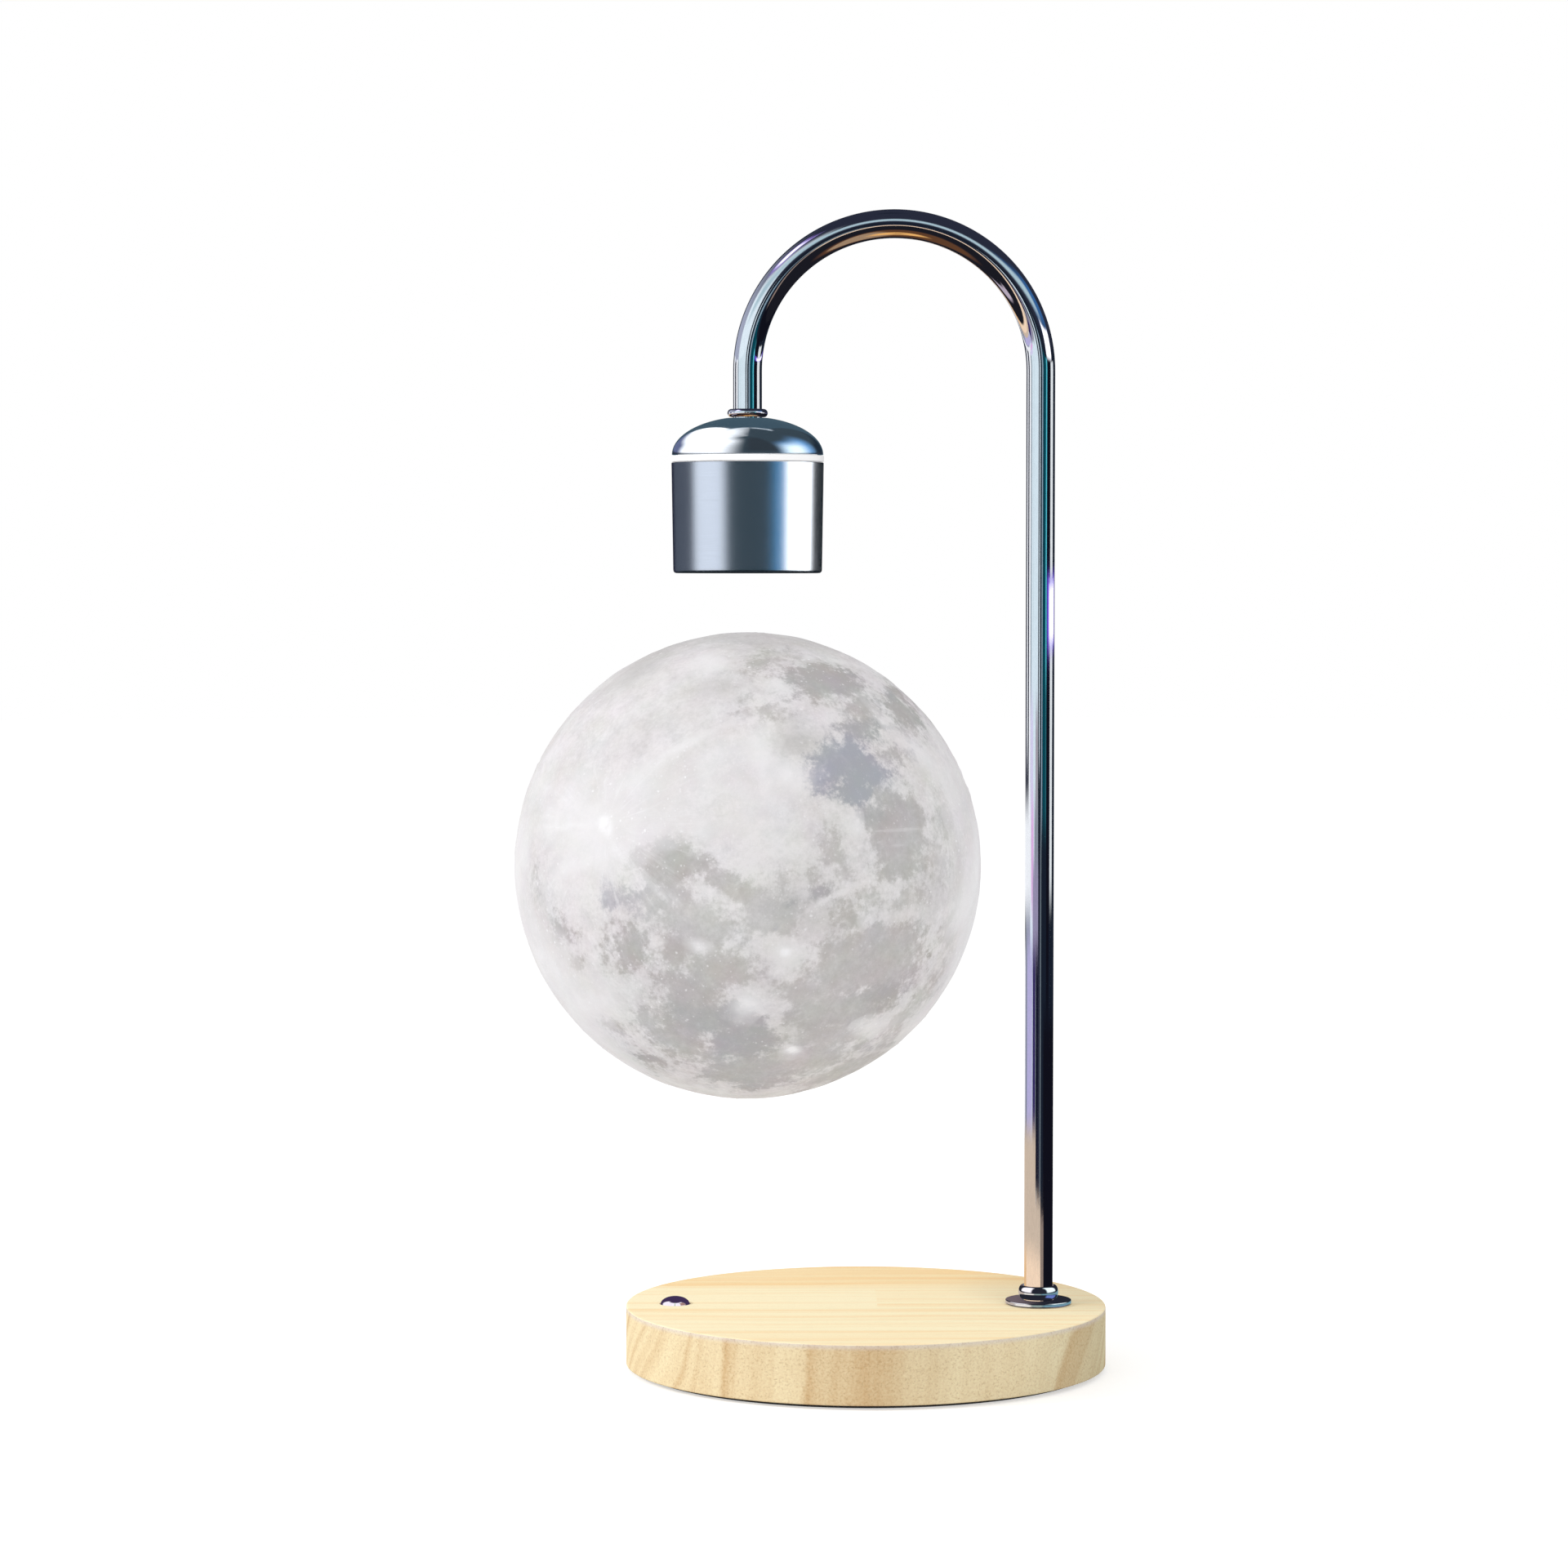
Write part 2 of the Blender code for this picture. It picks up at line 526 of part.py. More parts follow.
def wooden_base():
    """The disc of wood with its pocket, cover rebate, button hole, tube hole, screw holes and inlet recess."""
    base = solid("wooden_base", PALE_WOOD, base_axis, turned([
        (0, WOOD_LOW), (BASE_RADIUS - WOOD_CHAMFER, WOOD_LOW), (BASE_RADIUS, WOOD_LOW + WOOD_CHAMFER),
        (BASE_RADIUS, BASE_TOP - WOOD_CHAMFER), (BASE_RADIUS - WOOD_CHAMFER, BASE_TOP), (0, BASE_TOP),
    ], BASE_SIDES))
    combine(base, "lobe_holes", copies(lambda: screw_hole(COVER_TOP - OVERRUN, LOBE_TIP + GAP), lobe_places))
    combine(base, "ceiling_holes", copies(
        lambda: screw_hole(CEILING - OVERRUN, CEILING_TIP + GAP), ballast_places + board_places + switch_places
    ))
    combine(base, "tube_hole", copies(
        lambda: cylinder(TUBE_HOLE_RADIUS, CEILING - OVERRUN, BASE_TOP + OVERRUN, TUBE_SIDES), [(POST_X, 0)]
    ))
    wide, narrow = SHOULDER_RADIUS + BUTTON_CLEARANCE, BUTTON_RADIUS + BUTTON_CLEARANCE
    low, step, high = CEILING - OVERRUN, SHOULDER_TOP + GAP, BASE_TOP + OVERRUN
    combine(base, "button_hole", copies(lambda: turned(
        [(0, low), (wide, low), (wide, step), (narrow, step), (narrow, high), (0, high)], INNER_SIDES
    ), [(BUTTON_X, 0)]))
    body_hole = INLET_BODY_RADIUS + GAP
    recess = turned([
        (0, -RIM_WALL - OVERRUN), (body_hole, -RIM_WALL - OVERRUN), (body_hole, -INLET_RECESS_DEPTH),
        (INLET_RECESS_RADIUS, -INLET_RECESS_DEPTH), (INLET_RECESS_RADIUS, OVERRUN), (0, OVERRUN),
    ], INNER_SIDES)
    combine(base, "inlet_recess", [recess]).parent = inlet_axis
    under = WOOD_LOW - OVERRUN
    combine(base, "cover_rebate", [cylinder(COVER_RADIUS + GAP, under, COVER_TOP + GAP, BASE_SIDES)])
    pocket = combine(base, "pocket", [cylinder(POCKET_RADIUS, under, CEILING, BASE_SIDES)])
    combine(pocket, "lobes", copies(
        lambda: cylinder(LOBE_RADIUS, under - OVERRUN, CEILING + OVERRUN, INNER_SIDES), lobe_places
    ))


def underside():
    """The cover, its countersunk screws and the pad that hides them."""
    cover = solid("base_cover", BLACK_PLASTIC, base_axis, cylinder(COVER_RADIUS, WOOD_LOW, COVER_TOP, BASE_SIDES))
    hole, head = SHAFT_RADIUS + GAP, SUNK_HEAD_RADIUS + GAP
    countersink = [(0, -OVERRUN), (head, -OVERRUN), (head, GAP), (hole, SUNK_HEAD_HEIGHT + GAP),
                   (hole, COVER_THICKNESS + OVERRUN), (0, COVER_THICKNESS + OVERRUN)]
    combine(cover, "countersinks", copies(lambda: turned(countersink, SMALL_SIDES), lobe_places, WOOD_LOW))
    reach = LOBE_TIP - WOOD_LOW
    sunk_screw = [(0, 0), (SUNK_HEAD_RADIUS, 0), (SHAFT_RADIUS, SUNK_HEAD_HEIGHT),
                  (SHAFT_RADIUS, reach - SHAFT_TIP), (0, reach)]
    repeated("cover_screw", STEEL, base_axis, turned(sunk_screw, SMALL_SIDES), lobe_places, WOOD_LOW)
    solid("non_slip_pad", PAD_RUBBER, base_axis, cylinder(BASE_RADIUS - PAD_INSET, 0, PAD_THICKNESS, BASE_SIDES))


def ballast():
    """The steel plate that keeps the lamp from tipping."""
    plate = solid("ballast_plate", STEEL, base_axis, *copies(
        lambda: block(BALLAST_LENGTH, BALLAST_WIDTH, BALLAST_LOW, BALLAST_TOP, BALLAST_CORNER),
        [(BALLAST_X, BALLAST_Y)],
    ))
    combine(plate, "ballast_holes", copies(
        lambda: screw_hole(BALLAST_LOW - OVERRUN, BALLAST_TOP + OVERRUN), ballast_places
    ))
    seat = BALLAST_LOW - GAP
    repeated("ballast_screw", STEEL, base_axis, pan_screw(CEILING_TIP - seat), ballast_places, seat)


def control_board():
    """The control board with its soldered components and the spacers pressed into it, and its screws."""
    middle = (BOARD_LOW + BOARD_TOP) / 2
    board = solid("control_board", BOARD_GREEN, base_axis, *copies(
        lambda: block(BOARD_LENGTH, BOARD_WIDTH, BOARD_LOW, BOARD_TOP), [(0, BOARD_Y)]
    ))
    chip_places = [(step * CHIP_PITCH, BOARD_Y - CHIP_ROW) for step in (-1, 0, 1)]
    capacitor_places = [(side * CAPACITOR_PITCH / 2, BOARD_Y + CAPACITOR_ROW) for side in (-1, 1)]
    plug_places = [(-PLUG_X, BOARD_Y), (PLUG_X, BOARD_Y), (0, PLUG_Y)]
    combine(board, "board_parts", [
        *copies(lambda: block(CHIP_WIDTH, CHIP_WIDTH, BOARD_LOW - CHIP_HEIGHT, middle), chip_places),
        *copies(lambda: cylinder(CAPACITOR_RADIUS, BOARD_LOW - CAPACITOR_HEIGHT, middle, SMALL_SIDES),
                capacitor_places),
        *copies(lambda: block(CONNECTOR_WIDTH, CONNECTOR_WIDTH, BOARD_LOW - CONNECTOR_HEIGHT, middle), plug_places),
        *copies(lambda: cylinder(SPACER_RADIUS, middle, CEILING - GAP, SMALL_SIDES), board_places),
    ], "UNION")
    combine(board, "board_holes", copies(lambda: screw_hole(BOARD_LOW - OVERRUN, CEILING), board_places))
    repeated("board_screw", STEEL, base_axis, pan_screw(CEILING_TIP - BOARD_SEAT), board_places, BOARD_SEAT)


def power_inlet():
    """The round power inlet in its recess, its centre pin and its lead. The axis's Z points out of the base."""
    seat, low = GAP - INLET_RECESS_DEPTH, INLET_FACE - INLET_LENGTH
    bore_end = INLET_FACE - INLET_BORE_DEPTH
    solid("dc_inlet", BLACK_PLASTIC, inlet_axis, turned([
        (0, low), (INLET_BODY_RADIUS, low), (INLET_BODY_RADIUS, seat), (INLET_FLANGE_RADIUS, seat),
        (INLET_FLANGE_RADIUS, INLET_FACE), (INLET_BORE_RADIUS, INLET_FACE), (INLET_BORE_RADIUS, bore_end),
        (0, bore_end),
    ], INNER_SIDES))
    solid("dc_inlet_pin", BRASS, inlet_axis, cylinder(
        INLET_PIN_RADIUS, bore_end + GAP, INLET_FACE - INLET_PIN_SETBACK, SMALL_SIDES
    ))
    start, end = INLET_END - GAP, PLUG_Y + PLUG_REACH
    lead("inlet_lead", BLACK_PLASTIC, swept(
        (0, start, INLET_HEIGHT), (0, end, LEAD_HEIGHT), (0, -1, 0), (start - end) / 2 - LEAD_STRAIGHT
    ), LEAD_RADIUS)


def push_button():
    """The button, whose axis is its travel, and the switch below it."""
    turns = [pi / 2 * step / DOME_STEPS for step in range(DOME_STEPS)]
    dome = [(BUTTON_RADIUS * cos(turn), BASE_TOP + BUTTON_DOME_HEIGHT * sin(turn)) for turn in turns]
    solid("button_cap", CHROME, button_axis, turned([
        (0, BUTTON_LOW), (BUTTON_STEM_RADIUS, BUTTON_LOW), (BUTTON_STEM_RADIUS, SHOULDER_LOW),
        (SHOULDER_RADIUS, SHOULDER_LOW), (SHOULDER_RADIUS, SHOULDER_TOP), (BUTTON_RADIUS, SHOULDER_TOP),
        *dome, (0, BASE_TOP + BUTTON_DOME_HEIGHT),
    ], INNER_SIDES))
    solid("switch_plunger", STEEL, button_axis, cylinder(PLUNGER_RADIUS, PLUNGER_LOW, PLUNGER_TOP, SMALL_SIDES))
    housing = solid("switch_housing", BLACK_PLASTIC, button_axis, block(
        SWITCH_WIDTH, SWITCH_WIDTH, SWITCH_LOW, SWITCH_TOP
    ))
    well_low = PLUNGER_LOW - BUTTON_TRAVEL - GAP
    combine(housing, "plunger_well", [cylinder(
        PLUNGER_RADIUS + GAP, well_low, SWITCH_TOP + OVERRUN, SMALL_SIDES
    )])
    board = solid("switch_board", BOARD_GREEN, button_axis, block(
        SWITCH_BOARD_WIDTH, SWITCH_BOARD_LENGTH, BOARD_LOW, BOARD_TOP
    ))
    places = [(0, -switch_reach), (0, switch_reach)]
    middle = (BOARD_LOW + BOARD_TOP) / 2
    combine(board, "switch_board_spacers", copies(
        lambda: cylinder(SPACER_RADIUS, middle, CEILING - GAP, SMALL_SIDES), places
    ), "UNION")
    combine(board, "switch_board_holes", copies(lambda: screw_hole(BOARD_LOW - OVERRUN, CEILING), places))
    repeated("switch_screw", STEEL, button_axis, pan_screw(CEILING_TIP - BOARD_SEAT), places, BOARD_SEAT)
    start = (BUTTON_X + SWITCH_BOARD_WIDTH / 2 + GAP, 0, middle)
    end = (-PLUG_X - PLUG_REACH, BOARD_Y, LEAD_HEIGHT)
    lead("switch_lead", BLACK_PLASTIC, swept(start, end, (1, 0, 0)), LEAD_RADIUS)


def bent_tube():
    """The tube: rings of points up the post, round the half circle and down the leg, outside and inside."""
    bend = [pi * step / BEND_STEPS for step in range(BEND_STEPS + 1)]
    middles = [(BEND_RADIUS * (cos(turn) - 1), BEND_Z + BEND_RADIUS * sin(turn), turn) for turn in bend]
    middles = [(0, TUBE_LOW, 0), *middles, (-2 * BEND_RADIUS, LEG_LOW, pi)]
    angles = [2 * pi * side / TUBE_SIDES for side in range(TUBE_SIDES)]
    body = bmesh.new()
    outside, inside = ([[body.verts.new((
        x + radius * cos(angle) * cos(turn), radius * sin(angle), z + radius * cos(angle) * sin(turn)
    )) for angle in angles] for x, z, turn in middles] for radius in (TUBE_RADIUS, TUBE_RADIUS - TUBE_WALL))
    loops = [*outside, *reversed(inside)]
    for index, loop in enumerate(loops):
        before = loops[index - 1]
        for side in range(TUBE_SIDES):
            body.faces.new((loop[side - 1], loop[side], before[side], before[side - 1]))
    bmesh.ops.recalc_face_normals(body, faces=body.faces)
    solid("stem_tube", CHROME, post_axis, body)


def tube_fixings(axis, flat_top, nut_name, washer_name, washer_radius):
    """A washer below a flat face, and the nut below it, on the tube's threaded end."""
    washer_top = flat_top - GAP
    nut_top = washer_top - WASHER_THICKNESS - GAP
    solid(washer_name, STEEL, axis, ring(
        TUBE_HOLE_RADIUS, washer_radius, washer_top - WASHER_THICKNESS, washer_top, TUBE_SIDES
    ))
    nut = solid(nut_name, STEEL, axis, cylinder(NUT_RADIUS, nut_top - NUT_HEIGHT, nut_top, NUT_CORNERS))
    combine(nut, nut_name + "_bore", [cylinder(
        TUBE_HOLE_RADIUS, nut_top - NUT_HEIGHT - OVERRUN, nut_top + OVERRUN, TUBE_SIDES
    )])


def tube_foot():
    """The flange and collar on the wood, and the washer and nut under it."""
    low = BASE_TOP + GAP
    high = low + FLANGE_THICKNESS
    solid("foot_flange", CHROME, post_axis, turned([
        (TUBE_HOLE_RADIUS, low), (FLANGE_RADIUS, low), (FLANGE_RADIUS, high - FLANGE_ROUND),
        (FLANGE_RADIUS - FLANGE_ROUND, high), (TUBE_HOLE_RADIUS, high),
    ], HEAD_SIDES))
    solid("foot_collar", CHROME, post_axis, bead(
        TUBE_HOLE_RADIUS, FOOT_COLLAR_RADIUS, high + GAP, FOOT_COLLAR_HEIGHT
    ))
    tube_fixings(post_axis, CEILING, "stem_nut", "stem_washer", FOOT_WASHER_RADIUS)


def stem_lead():
    """The cable from the control board through the tube to the head's board."""
    height = COVER_TOP + GAP + STEM_LEAD_RADIUS
    turn_x = POST_X - STEM_LEAD_TURN
    route = swept((PLUG_X + PLUG_REACH, BOARD_Y, LEAD_HEIGHT), (turn_x, 0, height), (1, 0, 0))[:-1]
    route += [(turn_x + x, 0, height + STEM_LEAD_TURN + z)
              for x, z in arc(STEM_LEAD_TURN, -pi / 2, 0, ARC_STEPS)]
    route += [(BEND_X + x, 0, BEND_Z + z) for x, z in arc(BEND_RADIUS, 0, pi, BEND_STEPS // 2)]
    route.append((HEAD_X, 0, HEAD_BOARD_TOP + GAP))
    lead("stem_lead", BLACK_PLASTIC, route, STEM_LEAD_RADIUS)


def dome_profile(radius, height):
    """The dome's half outline above its rim: an ellipse that ends in the flat that the collar sits on."""
    last = acos(DOME_FLAT_RADIUS / radius)
    full_height = height / sin(last)
    turns = [last * step / DOME_STEPS for step in range(DOME_STEPS + 1)]
    return [(radius * cos(turn), DOME_LOW + full_height * sin(turn)) for turn in turns]


def barrel_bore(height):
    """The barrel's inside radius at a height, along its taper."""
    share = (height - BARREL_LOW - HEAD_WALL) / (BARREL_HEIGHT - HEAD_WALL)
    return BARREL_LOW_RADIUS + (BARREL_TOP_RADIUS - BARREL_LOW_RADIUS) * share - HEAD_WALL


def head_casing():
    """The dome, the white ring, the barrel and the cap in its bottom."""
    inside = dome_profile(DOME_RADIUS - HEAD_WALL, DOME_HEIGHT - HEAD_WALL)
    ceiling = HEAD_TOP - HEAD_WALL
    solid("head_dome", SATIN_METAL, head_axis, turned([
        *dome_profile(DOME_RADIUS, DOME_HEIGHT), (TUBE_HOLE_RADIUS, HEAD_TOP), (TUBE_HOLE_RADIUS, ceiling),
        *reversed(inside),
    ], HEAD_SIDES))

    bore = DOME_RADIUS - HEAD_WALL
    rise = SPIGOT_UP / (inside[-1][1] - DOME_LOW)
    upper = bore * sqrt(1 - rise**2) - GAP
    lower = barrel_bore(RING_LOW - SPIGOT_DOWN) - GAP
    spigot_bore = min(upper, lower) - SPIGOT_WALL
    solid("light_ring", WHITE_PLASTIC, head_axis, turned([
        (spigot_bore, RING_LOW - SPIGOT_DOWN), (lower, RING_LOW - SPIGOT_DOWN), (lower, RING_LOW),
        (RING_RADIUS, RING_LOW), (RING_RADIUS, RING_TOP), (upper, RING_TOP), (upper, RING_TOP + SPIGOT_UP),
        (spigot_bore, RING_TOP + SPIGOT_UP),
    ], HEAD_SIDES))

    round_x, round_z = BARREL_LOW_RADIUS - BARREL_ROUND, BARREL_LOW + BARREL_ROUND
    edge = [(round_x + x, round_z + z) for x, z in arc(BARREL_ROUND, -pi / 2, 0, ARC_STEPS)]
    lip = HEAD_BORE_RADIUS - BARREL_LIP
    inner_low = BARREL_LOW + HEAD_WALL
    solid("head_barrel", SATIN_METAL, head_axis, turned([
        (lip, BARREL_LOW), *edge, (BARREL_TOP_RADIUS, BARREL_TOP), (BARREL_TOP_RADIUS - HEAD_WALL, BARREL_TOP),
        (barrel_bore(inner_low), inner_low), (lip, inner_low),
    ], HEAD_SIDES))

    cap = solid("head_bottom_cap", BLACK_PLASTIC, head_axis, cylinder(
        HEAD_BORE_RADIUS, BOTTOM_CAP_LOW, BOTTOM_CAP_TOP, HEAD_SIDES
    ))
    places = around(CLAMP_COUNT, CLAMP_RING)
    middle = (BOTTOM_CAP_LOW + BOTTOM_CAP_TOP) / 2
    boss_top = BOTTOM_CAP_TOP + CLAMP_BOSS_HEIGHT
    combine(cap, "clamp_bosses", copies(
        lambda: cylinder(CLAMP_BOSS_RADIUS, middle, boss_top, SMALL_SIDES), places
    ), "UNION")
    combine(cap, "boss_holes", copies(
        lambda: screw_hole(BOTTOM_CAP_TOP, boss_top + OVERRUN, FINE_SHAFT_RADIUS), places
    ))


def head_magnetics():
    """The sensor, coils, core and magnet that hold the globe up and power it, between the cap and the plate."""
    floor = BOTTOM_CAP_TOP + GAP
    hall = solid("hall_sensor_board", BOARD_GREEN, head_axis, cylinder(
        HALL_BOARD_RADIUS, floor, HALL_BOARD_TOP, INNER_SIDES
    ))
    combine(hall, "hall_sensor", [block(
        HALL_SENSOR_WIDTH, HALL_SENSOR_WIDTH, HALL_BOARD_TOP - HALL_BOARD_THICKNESS / 2, HALL_SENSOR_TOP
    )], "UNION")
    solid("transmitter_coil", COPPER, head_axis, ring(
        HALL_BOARD_RADIUS + 2 * GAP, COIL_RADIUS, floor, TRANSMITTER_TOP, INNER_SIDES
    ))
    solid("ferrite_plate", FERRITE, head_axis, ring(
        FERRITE_BORE_RADIUS, COIL_RADIUS, FERRITE_LOW, FERRITE_TOP, INNER_SIDES
    ))
    bore, hub = CORE_RADIUS + GAP, CORE_RADIUS + GAP + BOBBIN_WALL
    window_low, window_high = BOBBIN_LOW + BOBBIN_WALL, BOBBIN_TOP - BOBBIN_WALL
    solid("coil_bobbin", BLACK_PLASTIC, head_axis, turned([
        (bore, BOBBIN_LOW), (BOBBIN_RADIUS, BOBBIN_LOW), (BOBBIN_RADIUS, window_low), (hub, window_low),
        (hub, window_high), (BOBBIN_RADIUS, window_high), (BOBBIN_RADIUS, BOBBIN_TOP), (bore, BOBBIN_TOP),
    ], INNER_SIDES))
    solid("copper_winding", COPPER, head_axis, ring(
        hub + GAP, BOBBIN_RADIUS - GAP, window_low + GAP, window_high - GAP, INNER_SIDES
    ))
    solid("iron_core", STEEL, head_axis, cylinder(CORE_RADIUS, BOBBIN_LOW, BOBBIN_TOP, INNER_SIDES))
    solid("lift_magnet", MAGNET_PLATING, head_axis, cylinder(
        LIFT_MAGNET_RADIUS, LIFT_MAGNET_TOP - LIFT_MAGNET_HEIGHT, LIFT_MAGNET_TOP, INNER_SIDES
    ))


def head_clamp():
    """The plate and screws that clamp the magnetics to the bottom cap, and the board on top."""
    places = around(CLAMP_COUNT, CLAMP_RING)
    low = CLAMP_PLATE_TOP - CLAMP_PLATE_THICKNESS
    plate = solid("clamp_plate", STEEL, head_axis, cylinder(HEAD_BORE_RADIUS, low, CLAMP_PLATE_TOP, HEAD_SIDES))
    combine(plate, "clamp_holes", copies(
        lambda: screw_hole(low - OVERRUN, CLAMP_PLATE_TOP + OVERRUN, FINE_SHAFT_RADIUS), places
    ))
    seat = CLAMP_PLATE_TOP + GAP
    reach = seat - BOTTOM_CAP_TOP - GAP
    clamp_screw = screw(FINE_SHAFT_RADIUS, FINE_HEAD_RADIUS, FINE_HEAD_HEIGHT, reach, -1)
    repeated("clamp_screw", STEEL, head_axis, clamp_screw, places, seat)
    board = solid("head_board", BOARD_GREEN, head_axis, cylinder(
        HEAD_BOARD_RADIUS, HEAD_BOARD_LOW, HEAD_BOARD_TOP, INNER_SIDES
    ))
    middle = (HEAD_BOARD_LOW + HEAD_BOARD_TOP) / 2
    combine(board, "head_board_feet", copies(
        lambda: cylinder(SPACER_RADIUS, seat, middle, SMALL_SIDES), around(CLAMP_COUNT, HEAD_SPACER_RING)
    ), "UNION")


def lamp_head():
    """Everything on the axis of the leg, from the collar down."""
    solid("head_collar", CHROME, head_axis, bead(
        TUBE_HOLE_RADIUS, HEAD_COLLAR_RADIUS, HEAD_TOP + GAP, HEAD_COLLAR_HEIGHT
    ))
    tube_fixings(head_axis, HEAD_TOP - HEAD_WALL, "head_nut", "head_washer", DOME_FLAT_RADIUS - GAP)
    head_casing()
    head_magnetics()
    head_clamp()


def moon_globe():
    """The thin shell, open at its top, and the cap whose skirt plugs the opening."""
    shell_edge, bore_edge = acos(MOON_OPENING_RADIUS / MOON_RADIUS), acos(MOON_OPENING_RADIUS / MOON_BORE_RADIUS)
    solid("moon_shell", MOON_PLASTIC, moon_axis, turned([
        *arc(MOON_RADIUS, -pi / 2, shell_edge, GLOBE_ROWS),
        *arc(MOON_BORE_RADIUS, bore_edge, -pi / 2, GLOBE_INSIDE_ROWS),
    ], GLOBE_SIDES))
    skirt_low = MOON_BORE_RADIUS * sin(bore_edge) - CAP_SKIRT_DEPTH
    solid("moon_cap", MOON_PLASTIC, moon_axis, turned([
        *arc(MOON_RADIUS, pi / 2, acos(CAP_RADIUS / MOON_RADIUS), CAP_STEPS), (CAP_RADIUS, skirt_low),
        (CAP_BORE_RADIUS, skirt_low),
        *arc(MOON_BORE_RADIUS, acos(CAP_BORE_RADIUS / MOON_BORE_RADIUS), pi / 2, CAP_STEPS),
    ], GLOBE_SIDES))


def moon_magnetics():
    """The housing plugged into the cap's skirt, with the magnet, its back plate and the receiver coil.

    Bosses under its floor end in stakes whose melted heads hold the receiver board.
    """
    bore = HOUSING_RADIUS - HOUSING_WALL
    housing = solid("magnet_housing", BLACK_PLASTIC, moon_axis, turned([
        (0, HOUSING_LOW), (HOUSING_RADIUS, HOUSING_LOW), (HOUSING_RADIUS, HOUSING_TOP), (bore, HOUSING_TOP),
        (bore, HOUSING_FLOOR_TOP), (0, HOUSING_FLOOR_TOP),
    ], INNER_SIDES))
    middle, boss_low = (HOUSING_LOW + HOUSING_FLOOR_TOP) / 2, HOUSING_LOW - MODULE_BOSS_HEIGHT
    stake_seat = PICKUP_BOARD_LOW - GAP
    stake = [(0, middle), (MODULE_BOSS_RADIUS, middle), (MODULE_BOSS_RADIUS, boss_low), (STAKE_RADIUS, boss_low),
             (STAKE_RADIUS, stake_seat), (STAKE_HEAD_RADIUS, stake_seat),
             (STAKE_RADIUS, stake_seat - STAKE_HEAD_HEIGHT), (0, stake_seat - STAKE_HEAD_HEIGHT)]
    combine(housing, "module_stakes", copies(
        lambda: turned(stake, SMALL_SIDES), around(CLAMP_COUNT, MODULE_RING)
    ), "UNION")
    magnet_radius = bore - MAGNET_PLAY
    solid("magnet_back_plate", STEEL, moon_axis, cylinder(
        magnet_radius, BACK_PLATE_LOW, BACK_PLATE_LOW + BACK_PLATE_THICKNESS, INNER_SIDES
    ))
    solid("floating_magnet", MAGNET_PLATING, moon_axis, cylinder(
        magnet_radius, FLOAT_MAGNET_LOW, FLOAT_MAGNET_LOW + FLOAT_MAGNET_HEIGHT, INNER_SIDES
    ))
    solid("receiver_coil", COPPER, moon_axis, ring(
        PICKUP_BORE_RADIUS, bore - GAP, PICKUP_LOW, HOUSING_TOP, INNER_SIDES
    ))


def light_module():
    """The receiver board under the housing, and the LED board and diffuser that hang from its pins."""
    middle = (PICKUP_BOARD_LOW + PICKUP_BOARD_TOP) / 2
    board = solid("receiver_board", BOARD_GREEN, moon_axis, cylinder(
        HOUSING_RADIUS - PICKUP_BOARD_INSET, PICKUP_BOARD_LOW, PICKUP_BOARD_TOP, INNER_SIDES
    ))
    chip_places = around(CLAMP_COUNT, PICKUP_CHIP_RING, pi / CLAMP_COUNT)
    combine(board, "receiver_parts", [
        *copies(lambda: block(PICKUP_CHIP_WIDTH, PICKUP_CHIP_WIDTH, PICKUP_BOARD_LOW - PICKUP_CHIP_HEIGHT, middle),
                chip_places),
        *copies(lambda: cylinder(PIN_RADIUS, PICKUP_BOARD_LOW - PIN_LENGTH, middle, SMALL_SIDES),
                around(PIN_COUNT, PIN_RING)),
    ], "UNION")
    combine(board, "stake_holes", copies(
        lambda: screw_hole(PICKUP_BOARD_LOW - OVERRUN, PICKUP_BOARD_TOP + OVERRUN, STAKE_RADIUS),
        around(CLAMP_COUNT, MODULE_RING),
    ))
    leds = solid("led_board", WHITE_PLASTIC, moon_axis, cylinder(
        LED_BOARD_RADIUS, LED_BOARD_LOW, LED_BOARD_TOP, INNER_SIDES
    ))
    combine(leds, "led_chips", copies(
        lambda: block(LED_WIDTH, LED_WIDTH, LED_BOARD_LOW - LED_HEIGHT, (LED_BOARD_LOW + LED_BOARD_TOP) / 2),
        around(LED_COUNT, LED_RING),
    ), "UNION")
    bore = LED_BOARD_RADIUS + 2 * GAP
    turns = [pi / 2 * step / DOME_STEPS for step in range(DOME_STEPS + 1)]
    outer = [((bore + DIFFUSER_WALL) * cos(turn), LED_BOARD_TOP - DIFFUSER_DEPTH * sin(turn)) for turn in turns]
    depth = DIFFUSER_DEPTH - DIFFUSER_WALL
    inner = [(bore * cos(turn), LED_BOARD_TOP - depth * sin(turn)) for turn in turns]
    solid("diffuser", OPAL_PLASTIC, moon_axis, turned([*reversed(outer), *inner], INNER_SIDES))


wooden_base()
underside()
ballast()
control_board()
power_inlet()
push_button()
bent_tube()
tube_foot()
stem_lead()
lamp_head()
moon_globe()
moon_magnetics()
light_module()
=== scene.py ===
"""Looks of a levitating moon lamp.

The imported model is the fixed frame. Every piece that shows is a smooth surface worked out from the lamp's own sizes,
put in place of its solid, and the pieces sealed inside keep their solids. Each finish is made of shader nodes.
Lengths are in metres, +Z is up and the camera looks along +Y.
"""

import json
import logging
from abc import ABC, abstractmethod
from dataclasses import dataclass
from enum import Enum
from functools import lru_cache
from math import acos, pi, radians, sin
from typing import Any, Sequence

import bmesh
import bpy
import numpy as np
from mathutils import Matrix, Vector


